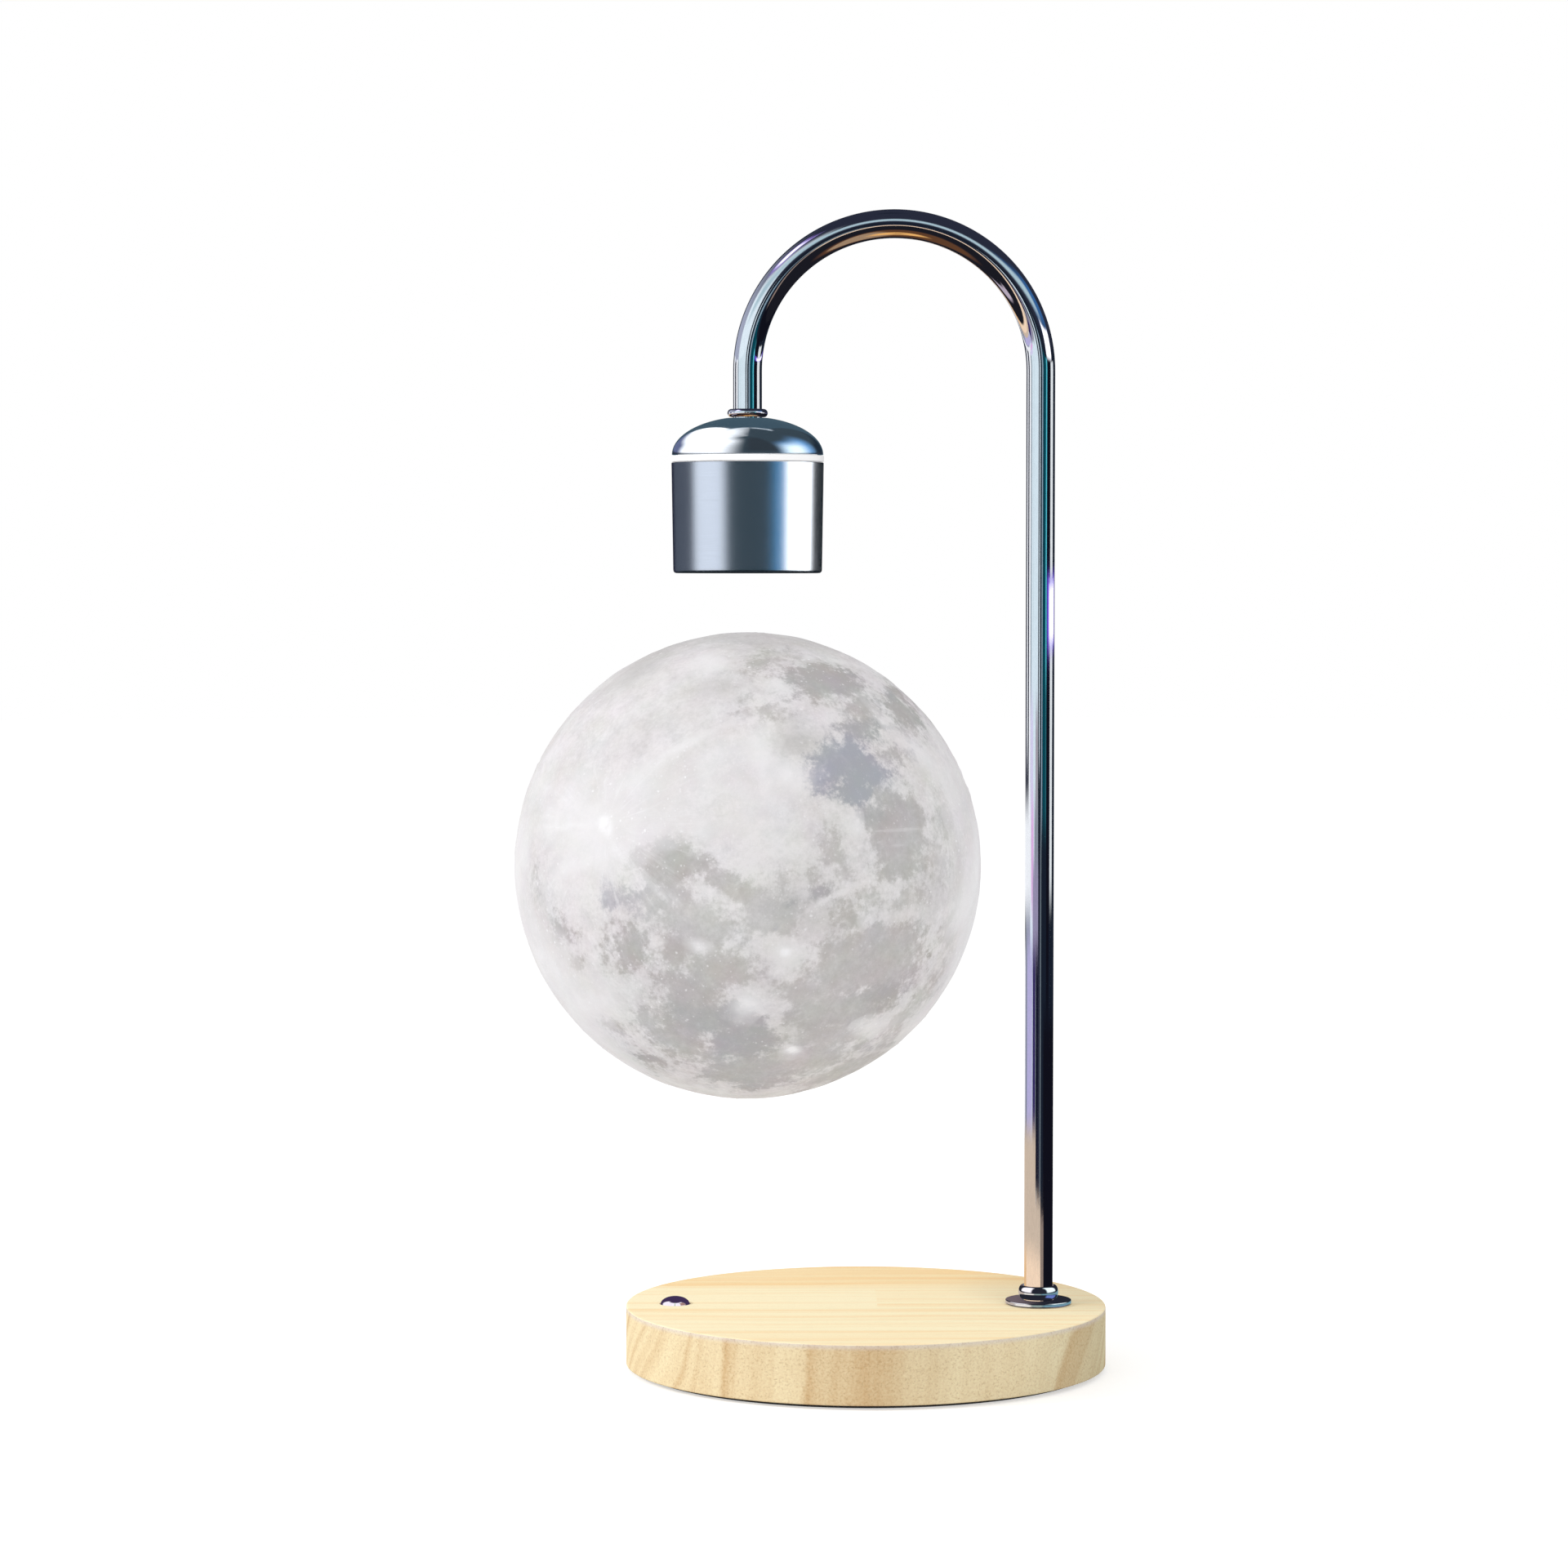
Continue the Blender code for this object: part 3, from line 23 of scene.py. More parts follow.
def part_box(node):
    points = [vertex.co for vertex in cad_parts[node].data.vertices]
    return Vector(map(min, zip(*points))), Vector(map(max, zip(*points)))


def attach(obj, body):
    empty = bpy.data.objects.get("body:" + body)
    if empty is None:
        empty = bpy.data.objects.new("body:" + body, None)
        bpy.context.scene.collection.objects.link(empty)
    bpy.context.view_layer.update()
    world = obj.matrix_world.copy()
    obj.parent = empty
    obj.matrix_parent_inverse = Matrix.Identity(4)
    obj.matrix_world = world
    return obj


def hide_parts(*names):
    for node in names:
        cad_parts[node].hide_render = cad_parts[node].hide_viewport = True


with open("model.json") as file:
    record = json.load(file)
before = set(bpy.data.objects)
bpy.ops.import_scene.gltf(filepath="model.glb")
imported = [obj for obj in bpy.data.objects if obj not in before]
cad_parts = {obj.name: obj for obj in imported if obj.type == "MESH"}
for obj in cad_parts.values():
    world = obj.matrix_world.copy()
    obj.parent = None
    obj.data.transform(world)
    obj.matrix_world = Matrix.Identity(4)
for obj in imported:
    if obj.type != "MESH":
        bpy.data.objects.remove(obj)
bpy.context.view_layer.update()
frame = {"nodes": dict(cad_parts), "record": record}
LOG = logging.getLogger("moon_lamp")

Colour = tuple[float, float, float]
Outline = Sequence[Sequence[float]]

# Clearance between pieces, how far a cutter overruns, the distance at which points merge, and a crease's angle
GAP = 0.0003
OVERRUN = 0.001
MERGE = 1e-7
SHARP = radians(34)

# Sizes and places that several pieces share
BASE_RADIUS = 0.07725
BASE_TOP = 0.0202
POST_X = 0.0557
BUTTON_X = -0.0615
HEAD_X = -0.0380
TUBE_HOLE = 0.0049
BEAD_LAND = 0.0004

# How far from a corner its rounding starts
FINE_EASE = 0.0001
EASE = 0.0002
WIDE_EASE = 0.0003


class Body(Enum):
    """The bodies of the frame that pieces ride on."""

    LAMP = "lamp"
    BUTTON = "button"
    MOON = "moon"


def screen(red: int, green: int, blue: int) -> Colour:
    """Linear colour of an 8-bit screen colour, by the sRGB curve.

    Args:
        red, green, blue: Screen values from 0 to 255.

    Returns:
        The linear red, green and blue.
    """
    shares = np.array([red, green, blue]) / 255
    linear = np.where(shares <= 0.04045, shares / 12.92, ((shares + 0.055) / 1.055) ** 2.4)
    return tuple(float(value) for value in linear)


class Value:
    """A number at a shader socket. Python's operators on it add the Math nodes."""

    def __init__(self, look: "Look", socket: bpy.types.NodeSocket) -> None:
        """Wraps a socket of a look's node tree."""
        self.look = look
        self.socket = socket

    def __add__(self, other: "Value | float") -> "Value":
        """Sum."""
        return self.look.math("ADD", self, other)

    __radd__ = __add__

    def __sub__(self, other: "Value | float") -> "Value":
        """Difference."""
        return self.look.math("SUBTRACT", self, other)

    def __rsub__(self, other: float) -> "Value":
        """Difference from a plain number."""
        return self.look.math("SUBTRACT", other, self)

    def __mul__(self, other: "Value | float") -> "Value":
        """Product."""
        return self.look.math("MULTIPLY", self, other)

    __rmul__ = __mul__

    def __truediv__(self, other: "Value | float") -> "Value":
        """Quotient."""
        return self.look.math("DIVIDE", self, other)

    def __pow__(self, other: float) -> "Value":
        """Power."""
        return self.look.math("POWER", self, other)

    def __abs__(self) -> "Value":
        """Size without its sign."""
        return self.look.math("ABSOLUTE", self)

    def floor(self) -> "Value":
        """The whole number below."""
        return self.look.math("FLOOR", self)

    def highest(self, other: "Value | float") -> "Value":
        """The greater of two numbers."""
        return self.look.math("MAXIMUM", self, other)

    def rise(self, low: float, high: float) -> "Value":
        """Smooth step: 0 up to low, 1 from high, and an s-shaped curve between them."""
        bounds = {"From Min": low, "From Max": high}
        made = self.look.node("ShaderNodeMapRange", {"interpolation_type": "SMOOTHSTEP"}, {"Value": self, **bounds})
        return Value(self.look, made.outputs["Result"])


class Look:
    """A node tree under construction, with one method that makes every node."""

    def __init__(self, tree: bpy.types.NodeTree) -> None:
        """Starts from an empty tree."""
        self.tree = tree
        tree.nodes.clear()

    def node(
        self, kind: str, settings: dict[str, Any] | None = None, sockets: dict[str | int, Any] | None = None
    ) -> bpy.types.Node:
        """Makes a node.

        Args:
            kind: The node's type.
            settings: Its properties, set first. The key "stops" holds a ramp's (place, colour) pairs.
            sockets: Values or links of its inputs, by name or number.

        Returns:
            The node.
        """
        made = self.tree.nodes.new(kind)
        for name, value in (settings or {}).items():
            if name == "stops":
                self.set_stops(made.color_ramp, value)
            else:
                setattr(made, name, value)
        for name, value in (sockets or {}).items():
            socket = made.inputs[name]
            source = value.socket if isinstance(value, Value) else value
            if isinstance(source, bpy.types.NodeSocket):
                self.tree.links.new(source, socket)
            else:
                socket.default_value = (*source, 1.0) if socket.type == "RGBA" else source
        return made

    @staticmethod
    def set_stops(ramp: bpy.types.ColorRamp, stops: Sequence[tuple[float, float]]) -> None:
        """Puts grey stops on a ramp.

        Args:
            ramp: The ramp.
            stops: (place, grey) pairs in rising order.
        """
        while len(ramp.elements) < len(stops):
            ramp.elements.new(1.0)
        for element, (place, grey) in zip(ramp.elements, stops):
            element.position = place
            element.color = (grey, grey, grey, 1.0)

    def math(self, operation: str, *values: Value | float) -> Value:
        """A Math node on numbers and sockets."""
        made = self.node("ShaderNodeMath", {"operation": operation}, dict(enumerate(values)))
        return Value(self, made.outputs[0])

    def place(self) -> tuple[bpy.types.NodeSocket, Value, Value, Value]:
        """The point on the object, whole and as its x, y and z."""
        point = self.node("ShaderNodeTexCoord").outputs["Object"]
        return (point, *self.parts(point))

    @staticmethod
    def band(value: Value, ends: tuple[float, float], soft: float) -> Value:
        """1 between two ends, and 0 beyond them, with soft edges inside them."""
        return value.rise(ends[0], ends[0] + soft) * (1.0 - value.rise(ends[1] - soft, ends[1]))

    def parts(self, vector: bpy.types.NodeSocket) -> tuple[Value, Value, Value]:
        """The three numbers of a vector or colour."""
        made = self.node("ShaderNodeSeparateXYZ", sockets={0: vector})
        return tuple(Value(self, output) for output in made.outputs)

    def joined(self, x: Value | float, y: Value | float, z: Value | float) -> bpy.types.NodeSocket:
        """A vector of three numbers."""
        return self.node("ShaderNodeCombineXYZ", sockets={0: x, 1: y, 2: z}).outputs[0]

    def stretched(self, vector: bpy.types.NodeSocket, shares: Colour) -> bpy.types.NodeSocket:
        """A vector times a share along each axis."""
        made = self.node("ShaderNodeVectorMath", {"operation": "MULTIPLY"}, {0: vector, 1: shares})
        return made.outputs[0]

    def noise(self, vector: bpy.types.NodeSocket, scale: float, detail: float = 3.0, roughness: float = 0.5) -> Value:
        """Cloudy noise around 0.5.

        Args:
            vector: Where it is read.
            scale: Clouds per metre, times the vector's own stretch.
            detail: Finer layers.
            roughness: Share of the finer layers.

        Returns:
            The noise.
        """
        sockets = {"Vector": vector, "Scale": scale, "Detail": detail, "Roughness": roughness}
        return Value(self, self.node("ShaderNodeTexNoise", None, sockets).outputs[0])

    def spots(self, vector: bpy.types.NodeSocket, scale: float) -> Value:
        """Distance to the nearest of many scattered points, in cells."""
        made = self.node("ShaderNodeTexVoronoi", None, {"Vector": vector, "Scale": scale})
        return Value(self, made.outputs["Distance"])

    def blend(self, share: Value | float, first: Any, second: Any, mode: str = "MIX") -> bpy.types.NodeSocket:
        """Mixes two colours by a share, which is kept between 0 and 1."""
        settings = {"data_type": "RGBA", "blend_type": mode, "clamp_factor": True}
        return self.node("ShaderNodeMix", settings, {0: share, 6: first, 7: second}).outputs[2]

    def bump(self, height: Value, depth: float) -> bpy.types.NodeSocket:
        """A normal tilted by a height from 0 to 1 that stands for a depth in metres."""
        return self.node("ShaderNodeBump", None, {"Strength": 1.0, "Distance": depth, "Height": height}).outputs[0]

    def surface(self, sockets: dict[str, Any]) -> None:
        """Ends the tree in a Principled shader with these sockets."""
        shader = self.node("ShaderNodeBsdfPrincipled", None, sockets)
        self.node("ShaderNodeOutputMaterial", None, {"Surface": shader.outputs[0]})


@dataclass(frozen=True)
class Finish(ABC):
    """A surface finish: a name and a colour."""

    name: str
    colour: Colour

    @abstractmethod
    def dress(self, look: Look) -> None:
        """Builds the finish's nodes."""


@lru_cache(maxsize=None)
def material(finish: Finish) -> bpy.types.Material:
    """The material of a finish, made once."""
    made = bpy.data.materials.new(finish.name)
    made.use_nodes = True
    finish.dress(Look(made.node_tree))
    return made


class Grain(Enum):
    """How a metal or a plastic was worked."""

    POLISHED = "polished"
    TURNED = "turned"
    ROLLED = "rolled"
    WOUND = "wound"


@dataclass(frozen=True)
class Metal(Finish):
    """A metal with smudges in its gloss and the marks of how it was made."""

    roughness: float
    grain: Grain
    smudge: float = 0.03
    depth: float = 0.0
    wire_pitch: float = 0.0006
    dulled: float = 0.86
    least_roughness: float = 0.02

    def dress(self, look: Look) -> None:
        """Smudges of two sizes vary the roughness, and fine lines along the work tilt the normal."""
        point, _, _, z = look.place()
        wiped = look.noise(look.stretched(point, (1.0, 1.0, 0.45)), 70, 4, 0.6)
        fingers = look.noise(point, 24, 2)
        gloss = self.roughness + self.smudge * (wiped.rise(0.35, 0.8) + fingers.rise(0.45, 0.75) - 0.6)
        lines = {
            Grain.POLISHED: lambda: look.noise(look.stretched(point, (1.0, 1.0, 0.2)), 2600, 2),
            Grain.TURNED: lambda: look.noise(look.stretched(point, (1.0, 1.0, 60.0)), 90, 3, 0.65),
            Grain.ROLLED: lambda: look.noise(look.stretched(point, (0.06, 1.0, 1.0)), 900, 2),
            Grain.WOUND: lambda: look.math("SINE", z * (2 * pi / self.wire_pitch)) * 0.5 + 0.5,
        }[self.grain]()
        dull = tuple(self.dulled * part for part in self.colour)
        look.surface({
            "Base Color": look.blend(lines.rise(0.3, 0.7) * 0.35, self.colour, dull),
            "Roughness": gloss.highest(self.least_roughness),
            "Metallic": 1.0,
            "Normal": look.bump(lines, self.depth),
        })


@dataclass(frozen=True)
class Plastic(Finish):
    """A moulded or pressed plastic, rubber or sintered piece."""

    roughness: float
    texture_scale: float
    depth: float
    mottle: float = 0.08
    glow: float = 0.0
    dust: float = 0.6

    def dress(self, look: Look) -> None:
        """A spark-eroded texture in the normal, and slow changes of colour and gloss."""
        point = look.place()[0]
        grain = look.noise(point, self.texture_scale, 3, 0.6)
        cloud = look.noise(point, 60, 3)
        dusty = tuple(part + self.mottle * (self.dust - part) for part in self.colour)
        look.surface({
            "Base Color": look.blend(cloud.rise(0.4, 0.75) * 0.6 + grain.rise(0.5, 0.9) * 0.4, self.colour, dusty),
            "Roughness": self.roughness + 0.12 * (cloud - 0.5) + 0.10 * (grain - 0.5),
            "Emission Color": self.colour,
            "Emission Strength": self.glow,
            "Normal": look.bump(grain, self.depth),
        })


@dataclass(frozen=True)
class PrintedBoard(Finish):
    """Green solder mask over copper tracks."""

    track: Colour = (0.10, 0.36, 0.16)
    tin: Colour = (0.70, 0.70, 0.68)
    cells_per_metre: float = 420.0
    depth: float = 0.00004

    def dress(self, look: Look) -> None:
        """Tracks follow the edges of square cells, and tinned pads sit at scattered points."""
        point = look.place()[0]
        cells = look.node("ShaderNodeTexVoronoi", {"distance": "MANHATTAN", "feature": "F1"},
                          {"Vector": point, "Scale": self.cells_per_metre, "Randomness": 0.7})
        rim = Value(look, cells.outputs["Distance"]).rise(0.42, 0.50)
        pads = 1.0 - look.spots(point, 300).rise(0.10, 0.14)
        masked = look.blend(rim * 0.8, self.colour, self.track)
        look.surface({
            "Base Color": look.blend(pads, masked, self.tin),
            "Roughness": 0.42 - pads * 0.12 + 0.1 * look.noise(point, 400),
            "Normal": look.bump(rim * 0.6 + pads, self.depth),
        })


@dataclass(frozen=True)
class Pine(Finish):
    """Varnished edge-glued pine: streaks along the staves on top, end grain round the side, with painted shade at the
    side's right and a painted sheen along its top edge.
    """

    top_streak: Colour
    side_light: Colour
    side_dark: Colour
    top: float
    radius: float
    stave: float = 0.041
    stave_edge: float = -0.010
    block: float = 0.30
    joint: float = 0.0037
    stagger: float = 0.083
    depth: float = 0.00006
    varnish_edge: tuple[float, float] = (0.00034, 0.00012)
    # How far below the top the painted sheen on the side starts and is full
    painted_sheen_edge: tuple[float, float] = (0.0022, 0.0004)
    speck: Colour = (0.50, 0.36, 0.22)
    pore: Colour = (0.45, 0.28, 0.14)
    dash: Colour = (0.40, 0.24, 0.13)
    # Colour of the painted shade on the right of the side
    cool_shade: Colour = (0.82, 0.90, 0.94)
    # Colour of that painted sheen
    painted_sheen_grey: Colour = (0.74, 0.69, 0.70)

    # Place round the ramp and depth of each growth ring on the side
    RINGS = (
        (0.000, 0.35), (0.250, 0.40), (0.278, 0.30), (0.296, 0.30), (0.300, 0.62), (0.308, 0.20), (0.326, 0.30),
        (0.329, 0.58), (0.342, 0.24), (0.3640, 0.26), (0.3667, 0.80), (0.371, 0.36), (0.3768, 0.30), (0.3785, 0.62),
        (0.384, 0.28), (0.3995, 0.36), (0.4020, 0.90), (0.409, 0.40), (0.428, 0.52), (0.436, 0.30), (0.4570, 0.32),
        (0.4590, 1.00), (0.472, 0.52), (0.483, 0.55), (0.494, 0.92), (0.507, 0.88), (0.522, 0.42), (0.556, 0.18),
        (0.640, 0.08), (0.645, 0.85), (0.672, 0.62), (0.676, 0.38),
    )

    def dress(self, look: Look) -> None:
        """The top's pattern above the edge, the side's pattern below it."""
        point, x, y, z = look.place()
        upper = z.rise(self.top - self.varnish_edge[0], self.top - self.varnish_edge[1])
        top_colour, top_height = self.planks(look, x, y, z)
        side_colour, side_height = self.end_grain(look, x, y, z)
        speckle = look.noise(point, 1500, 2)
        whole = look.blend(upper, side_colour, top_colour)
        specks = speckle.rise(0.50, 0.72) * (0.30 - upper * 0.22)
        look.surface({
            "Base Color": look.blend(specks, whole, self.speck, "MULTIPLY"),
            "Roughness": 0.58 - upper * 0.06 + 0.10 * (speckle - 0.5),
            "Specular IOR Level": 0.10,
            "Coat Weight": 0.03 + upper * 0.09,
            "Coat Roughness": 0.10,
            "Normal": look.bump(top_height * upper + side_height * (1.0 - upper), self.depth),
        })

    def planks(self, look: Look, x: Value, y: Value, z: Value) -> tuple[bpy.types.NodeSocket, Value]:
        """Colour and height of the top.

        Each stave, a strip along X, and each block in it, shifts the streaks and has a tone of its own.

        Args:
            look: The tree.
            x, y, z: The point.

        Returns:
            The colour's socket and a height from 0 to 1.
        """
        across = (y - self.stave_edge) / self.stave
        row = across.floor()
        along = (x - self.joint - row * self.stagger) / self.block
        piece = row * 3.7 + along.floor() * 1.9
        tone = Value(look, look.node("ShaderNodeTexWhiteNoise", {"noise_dimensions": "1D"}, {"W": piece}).outputs[0])
        bend = look.noise(look.joined(x * 9.0, y * 14.0, piece), 1.0, 2) - 0.5
        drift = y + bend * 0.010
        streak = look.noise(look.joined(x * 5.0, drift * 190.0, piece + z), 1.0, 4, 0.62)
        fine = look.noise(look.joined(x * 22.0, drift * 1300.0, piece), 1.0, 3, 0.6)
        pores = look.noise(look.joined(x * 130.0, drift * 2600.0, piece), 1.0, 2)
        edge_share = across - row
        seam = 1.0 - (edge_share * (1.0 - edge_share)).rise(0.0, 0.008)
        warm = y.rise(0.018, 0.05) * 0.35
        depth = streak.rise(0.42, 0.72) * 0.48 + fine.rise(0.5, 0.8) * 0.16 + (tone - 0.5) * 0.30 + warm
        colour = look.blend(depth, self.colour, self.top_streak)
        marked = look.blend(pores.rise(0.66, 0.74) * 0.30 + seam * 0.16, colour, self.pore, "MULTIPLY")
        return marked, fine * 0.5 + streak * 0.3 - seam * 0.2

    def end_grain(self, look: Look, x: Value, y: Value, z: Value) -> tuple[bpy.types.NodeSocket, Value]:
        """Colour and height of the side.

        The turn about the axis, 0 at the back, leaned by the height, is read from a ramp of growth rings.

        Args:
            look: The tree.
            x, y, z: The point.

        Returns:
            The colour's socket and a height from 0 to 1.
        """
        turn = look.math("ARCTAN2", x, 0.0 - y) / pi
        away = abs(turn)
        lean = 0.3 + away.rise(0.2, 0.38) * 4.2
        wobble = look.noise(look.joined(turn * 26.0, z * 90.0, 0.0), 1.0, 3) - 0.5
        leaned = turn - (z - self.top / 2) * lean + wobble * 0.010
        rings = look.node("ShaderNodeValToRGB", {"stops": self.RINGS}, {0: leaned * 0.5 + 0.5}).outputs[0]
        hand_set = Value(look, rings)
        sweep = look.noise(look.joined(leaned * 34.0, z * 5.0, 4.0), 1.0, 3, 0.55)
        behind = away.rise(0.36, 0.5)
        bands = hand_set * (1.0 - behind * 0.6) * 0.62 + sweep.rise(0.40, 0.75) * (0.20 + behind * 0.55)
        length = turn * (pi * self.radius)
        dashes = look.noise(look.joined(length * 420.0, z * 2300.0, 0.0), 1.0, 2)
        mealy = look.noise(look.joined(length * 1000.0, z * 1100.0, 1.0), 1.0, 3, 0.6)
        stained = look.noise(look.joined(length * 90.0, z * 60.0, 2.0), 1.0, 3)
        depth = bands + (mealy - 0.5) * 0.60 + (stained - 0.5) * 0.25
        colour = look.blend(depth, self.side_light, self.side_dark)
        # Painted shade: the right of the side is made darker and cooler.
        shaded = turn.rise(0.16, 0.45) * (1.0 - turn.rise(0.52, 0.80)) * 0.9
        side_with_painted_shade = look.blend(shaded, colour, self.cool_shade, "MULTIPLY")
        marked = look.blend(dashes.rise(0.68, 0.76) * 0.5, side_with_painted_shade, self.dash, "MULTIPLY")
        # Painted sheen: a cool grey line along the top edge of the side.
        painted_sheen = z.rise(self.top - self.painted_sheen_edge[0], self.top - self.painted_sheen_edge[1]) * 0.5
        return look.blend(painted_sheen, marked, self.painted_sheen_grey), mealy * 0.6 + hand_set * 0.2


@dataclass(frozen=True)
class MoonPrint(Finish):
    """Printed grey seas and pale highlands, read from the globe's own attributes."""

    shade: Colour
    sea: Colour
    blue_sea: Colour
    ray: Colour
    hub: tuple[float, float, float]
    glow: float = 0.60
    lit_share: float = 0.38
    depth: float = 0.00008
    streak_start: tuple[float, float] = (0.004, 0.010)
    streak_end: tuple[float, float] = (0.006, 0.070)

    def dress(self, look: Look) -> None:
        """Seas, highlands, rays and flecks from the stored attributes and noise.

        The sea attribute holds the share inside a coast, the tone and the blueness, and the mist attribute brightens or
        darkens: mostly as print, and at the limb as painted light and painted shade. Noise of three sizes frays the
        coasts.
        Streaks run away from the ray crater's hub: they are noise read at the direction from the hub, which doesn't
        change along a streak.
        """
        point = look.place()[0]
        kept = look.node("ShaderNodeAttribute", {"attribute_name": "sea"}).outputs["Color"]
        coast, tone, blue = look.parts(kept)
        mist = Value(look, look.node("ShaderNodeAttribute", {"attribute_name": "mist"}).outputs["Fac"])
        coarse = look.noise(point, 75, 4, 0.6)
        ragged = look.noise(point, 230, 5, 0.65)
        fine = look.noise(point, 700, 3, 0.7)
        fray = (coarse - 0.5) * 1.00 + (ragged - 0.5) * 0.95 + (fine - 0.5) * 0.50
        wet = (coast + fray).rise(0.34, 0.66) * 0.72 + (coast + fray * 0.7).rise(0.05, 0.90) * 0.28
        patchy = look.noise(point, 42, 5, 0.62)
        dappled = (patchy - 0.5) * 1.5 + (ragged - 0.5) * 1.0 + (fine - 0.5) * 0.8
        ground = look.blend(dappled * 1.25 + 0.30, self.colour, self.shade)
        water = look.blend(blue, self.sea, self.blue_sea)
        mixed = look.blend(wet * (tone + dappled * 0.45), ground, water)
        tint = look.node("ShaderNodeTexNoise", None, {"Vector": point, "Scale": 85.0, "Detail": 4.0}).outputs["Color"]
        tinted = look.blend(0.16, mixed, tint, "SOFT_LIGHT")
        # Painted shade: mists below 0 darken the top limb, as well as the print's darker spots.
        dark_print_and_painted_shade = (0.0 - mist + fray * 0.25).highest(0.0) * abs(mist).rise(0.0, 0.1)
        dimmed = look.blend(dark_print_and_painted_shade, tinted, self.sea)
        # Painted light: mists above 0 brighten the right limb, as well as the print's bright spots and the ray crater's
        # halo.
        bright_print_and_painted_light = (mist + fray * 0.8).highest(0.0) * mist.rise(0.0, 0.06)
        bright = bright_print_and_painted_light + self.streaks(look, point) + self.flecks(look, point, patchy)
        whole = look.blend(bright, dimmed, self.ray)
        pits = look.spots(point, 620).rise(0.12, 0.34)
        look.surface({
            "Base Color": look.blend(1.0, whole, (self.lit_share,) * 3, "MULTIPLY"),
            "Roughness": 0.80 - wet * 0.06 + (fine - 0.5) * 0.16,
            "Specular IOR Level": 0.2,
            "Emission Color": whole,
            "Emission Strength": self.glow,
            "Normal": look.bump(fine * 0.7 + pits * 0.4 + ragged * 0.5, self.depth),
        })

    def streaks(self, look: Look, point: bpy.types.NodeSocket) -> Value:
        """Fine bright streaks around the ray crater, which fade with the distance."""
        away = look.node("ShaderNodeVectorMath", {"operation": "SUBTRACT"}, {0: point, 1: self.hub}).outputs[0]
        reach = Value(look, look.node("ShaderNodeVectorMath", {"operation": "LENGTH"}, {0: away}).outputs["Value"])
        heading = look.node("ShaderNodeVectorMath", {"operation": "NORMALIZE"}, {0: away}).outputs[0]
        lines = look.noise(heading, 9.0, 4, 0.75)
        return lines.rise(0.48, 0.80) * (1.0 - reach.rise(*self.streak_end)) * 0.42 * reach.rise(*self.streak_start)

    def flecks(self, look: Look, point: bpy.types.NodeSocket, patchy: Value) -> Value:
        """White flecks of two sizes, thicker in some places."""
        strewn = look.noise(point, 900, 2, 0.6)
        dots = 1.0 - (look.spots(point, 300) + (strewn - 0.5) * 0.35).rise(0.03, 0.17)
        grains = 1.0 - (look.spots(look.stretched(point, (1.0, 1.0, 0.8)), 620) + (strewn - 0.5) * 0.4).rise(0.04, 0.22)
        return (dots * 0.60 + grains * 0.42) * patchy.rise(0.38, 0.64)


CHROME = Metal("polished_chrome", (0.87, 0.88, 0.90), 0.035, Grain.POLISHED, 0.02, 0.000001)
SATIN = Metal("satin_grey_metal", (0.78, 0.80, 0.83), 0.25, Grain.TURNED, 0.02, 0.0000004)
SPUN = Metal("spun_grey_metal", (0.78, 0.80, 0.83), 0.085, Grain.TURNED, 0.01, 0.0000003)
STEEL = Metal("zinc_plated_steel", (0.58, 0.58, 0.60), 0.34, Grain.ROLLED, 0.08, 0.00001)
PLATING = Metal("nickel_plating", (0.70, 0.69, 0.66), 0.20, Grain.TURNED, 0.06, 0.000005)
COPPER = Metal("enamelled_copper", (0.76, 0.38, 0.20), 0.30, Grain.WOUND, 0.05, 0.00012)
BRASS = Metal("turned_brass", (0.80, 0.62, 0.28), 0.24, Grain.TURNED, 0.05, 0.000005)
WHITE = Plastic("white_plastic", (0.90, 0.90, 0.91), 0.34, 900, 0.00001, 0.05)
RING = Plastic("white_light_ring", (0.93, 0.93, 0.93), 0.40, 900, 0.00001, 0.03, 0.22)
OPAL = Plastic("opal_diffuser", (0.93, 0.92, 0.88), 0.50, 700, 0.00002, 0.05)
BLACK = Plastic("black_moulding", (0.030, 0.030, 0.034), 0.46, 1400, 0.00004, 0.05)
FERRITE = Plastic("sintered_ferrite", (0.07, 0.07, 0.08), 0.70, 1100, 0.00003)
RUBBER = Plastic("pad_foam", (0.045, 0.045, 0.048), 0.88, 1700, 0.00020, 0.10)
BOARD = PrintedBoard("solder_mask", (0.035, 0.17, 0.075))
PINE = Pine(
    "varnished_pine", screen(255, 244, 208), top_streak=screen(248, 206, 142), side_light=screen(248, 233, 194),
    side_dark=screen(194, 148, 92), top=BASE_TOP, radius=BASE_RADIUS,
)
MOON_PRINT = MoonPrint(
    "moon_print", screen(233, 230, 231), shade=screen(208, 206, 206), sea=screen(184, 181, 179),
    blue_sea=screen(172, 174, 182), ray=screen(247, 246, 248), hub=(-0.0811, -0.0591, 0.1784),
)

SLOT_FINISHES: dict[str, Finish] = {
    "pale_wood": PINE, "chrome": CHROME, "satin_metal": SATIN, "moon_plastic": MOON_PRINT, "white_plastic": WHITE,
    "opal_plastic": OPAL, "black_plastic": BLACK, "pad_rubber": RUBBER, "steel": STEEL, "magnet_plating": PLATING,
    "copper_wire": COPPER, "brass": BRASS, "ferrite": FERRITE, "circuit_board": BOARD,
}

SLOTS: dict[str, str] = {entry["node"]: entry["material_slot"] for entry in frame["record"]["subparts"]}


